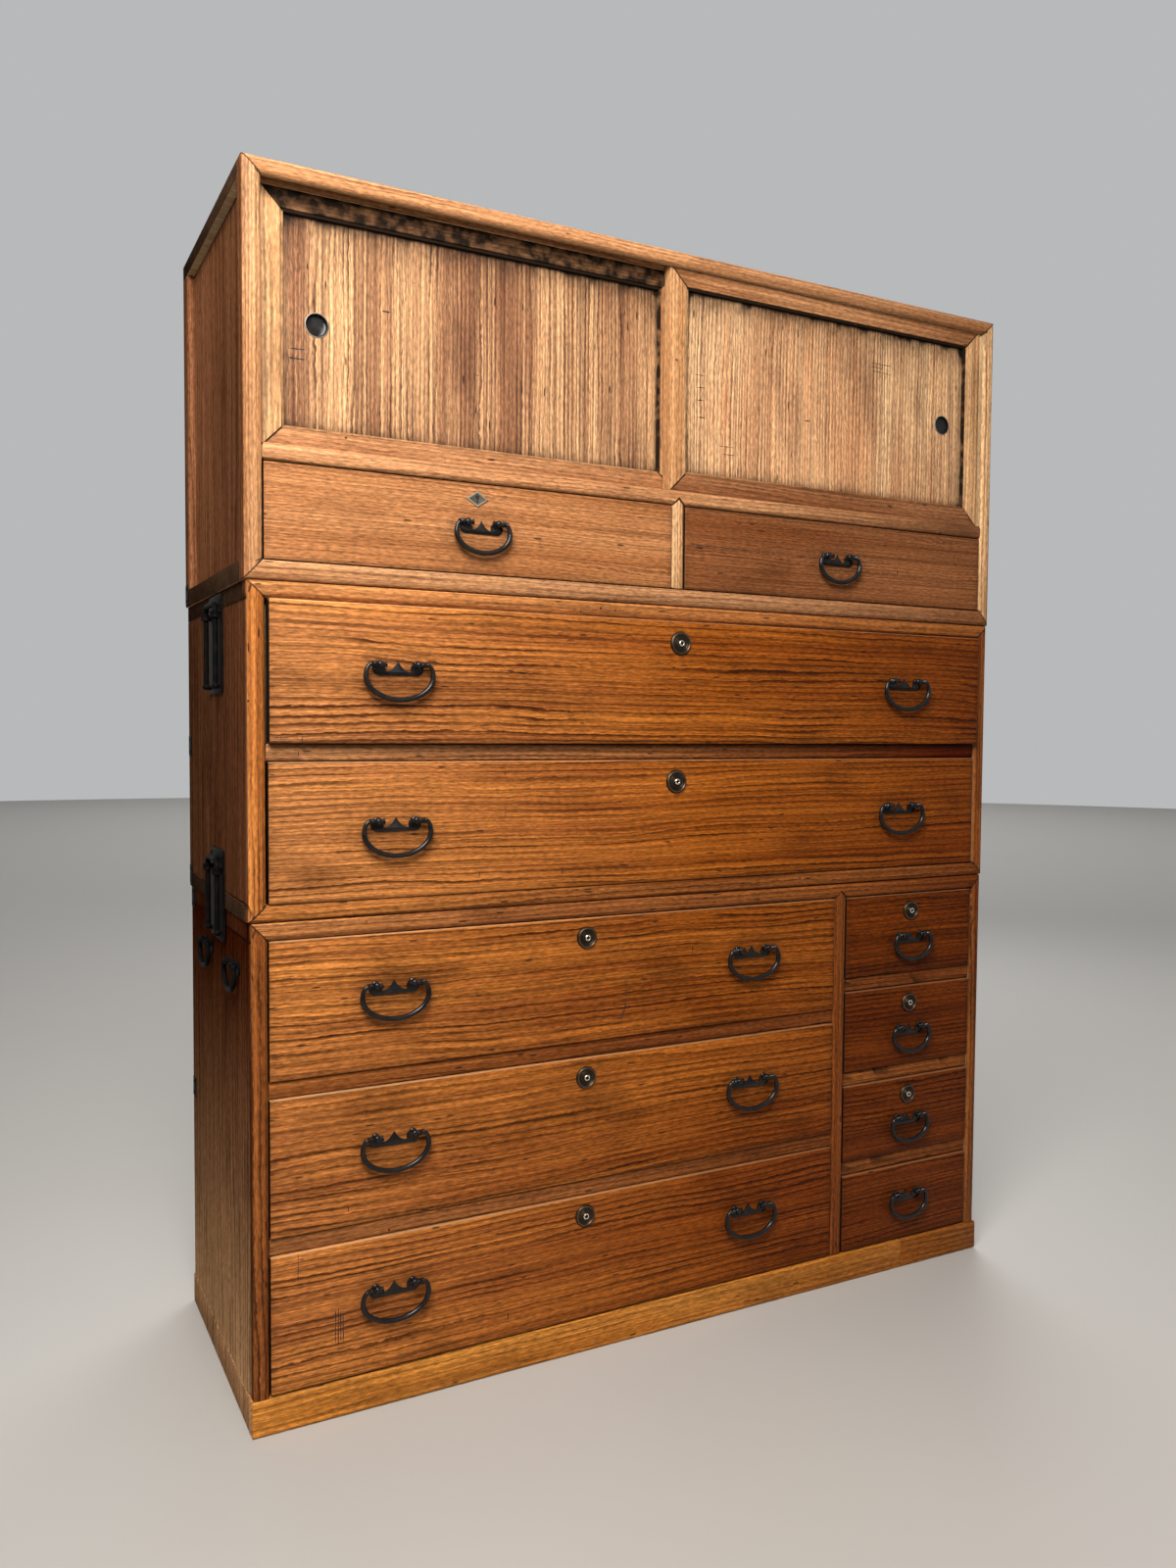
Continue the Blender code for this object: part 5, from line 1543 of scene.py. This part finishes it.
edge_nails = [copied(nail, (0, -EDGE_IRON_THICKNESS, z)) for z in (-EDGE_NAIL, EDGE_NAIL)]
edge_iron = joined(edge_plate, *edge_nails)
for section, (half_width, heights) in EDGE_IRONS.items():
    for hand, turn, sign in HANDS:
        places = [(sign * half_width, back_edge - half - EDGE_IRON_INSET, z) for z in heights]
        irons = joined(*[copied(edge_iron, place, turn) for place in places])
        paint(irons, SIDE_IRON)
        settle(irons, f"{section}_{hand}_edge_irons", f"{section}_case", "iron")
print("pieces with edge irons:", len(settled))

# %% Put the patterns away
patterns = [*lock_patterns.values(), *pull_patterns.values(), *bail_patterns.values()]
patterns += [cup, nail, collar, edge_iron]
for pattern in patterns:
    bpy.data.objects.remove(pattern)
print("patterns removed:", len(patterns))

# %% [markdown]
# ## Floor and light
# A wide pale floor carries the chest's shadow. One large soft lamp stands to the left in front of the
# chest, above the camera, so that the upper left of the front is brightest and the light falls off
# to the lower right. A weak lamp in front lifts the shadows a little and a wide one overhead lights the
# tops. Two more stand behind, one for the far floor and one for the back of the chest. The sky is plain.
# What the camera and the reflections see of it is brighter than the light that it gives, because an even
# light from all sides would flatten the front.

# %% Lay the floor
FLOOR_RADIUS, FLOOR_GRAIN = 14, 0.1 * MM
only()
bpy.ops.mesh.primitive_circle_add(
    vertices=128, radius=FLOOR_RADIUS, fill_type="NGON", location=(0, 0, cad_low.z))
floor = bpy.context.object
floor.name = "floor"
floor_finish = Finish("floor_paint")
x, y, z = floor_finish.axes()
cloud = floor_finish.noise(x * 1.5, y * 1.5, z, 3.0)
floor_colour = floor_finish.blend(cloud, (0.50, 0.48, 0.45), (0.55, 0.53, 0.50))
paint(floor, floor_finish.surface(floor_colour, cloud * 0.2 + 0.5, cloud, FLOOR_GRAIN))
print("floor, m across:", 2 * FLOOR_RADIUS)

# %% Hang the lamps
# Each lamp has its place, the point it aims at, its size in metres, its watts and its colour.
LAMPS = {
    "key_lamp": ((-0.95, -1.30, 2.00), (-0.2, -0.19, 0.8), 1.0, 58, (1.0, 0.97, 0.93)),
    "front_lamp": ((0.2, -3.0, 1.9), (-0.2, -0.19, 0.9), 1.2, 4, (1.0, 0.98, 0.96)),
    "ceiling_lamp": ((0.0, -0.6, 4.0), (0.0, -0.6, 0.0), 3.0, 14, (1.0, 0.99, 0.97)),
    "floor_lamp": ((4.5, 8.0, 6.0), (4.5, 8.0, 0.0), 11.0, 460, (1.0, 1.0, 1.0)),
    "back_lamp": ((1.8, 2.3, 2.3), (0.0, 0.0, 0.8), 1.8, 36, (1.0, 1.0, 1.0)),
}
for name, (place, aim, size, watts, colour) in LAMPS.items():
    only()
    bpy.ops.object.light_add(type="AREA", location=place)
    light = bpy.context.object
    light.name = name
    light.rotation_euler = (Vector(aim) - Vector(place)).to_track_quat("-Z", "Y").to_euler()
    light.data.size, light.data.energy, light.data.color = size, watts, colour
    light.visible_camera = False
print("lamps:", list(LAMPS))

# %% Set the sky
SKY_COLOUR, SKY_LIGHT, SKY_SEEN = (0.98, 0.99, 1.0), 0.06, 0.43
world = bpy.data.worlds.new("studio")
bpy.context.scene.world = world
world.use_nodes = True
sky = world.node_tree
rays = sky.nodes.new("ShaderNodeLightPath")
seen = Amount(sky, rays.outputs["Is Camera Ray"])
for kind in ("Glossy", "Transmission"):
    seen = seen.sum("MAXIMUM", Amount(sky, rays.outputs[f"Is {kind} Ray"]))
fill(sky, sky.nodes["Background"].inputs["Color"], SKY_COLOUR)
fill(sky, sky.nodes["Background"].inputs["Strength"], seen * SKY_SEEN + SKY_LIGHT)
bpy.context.scene.view_settings.view_transform = "Standard"
print("sky:", world.name)
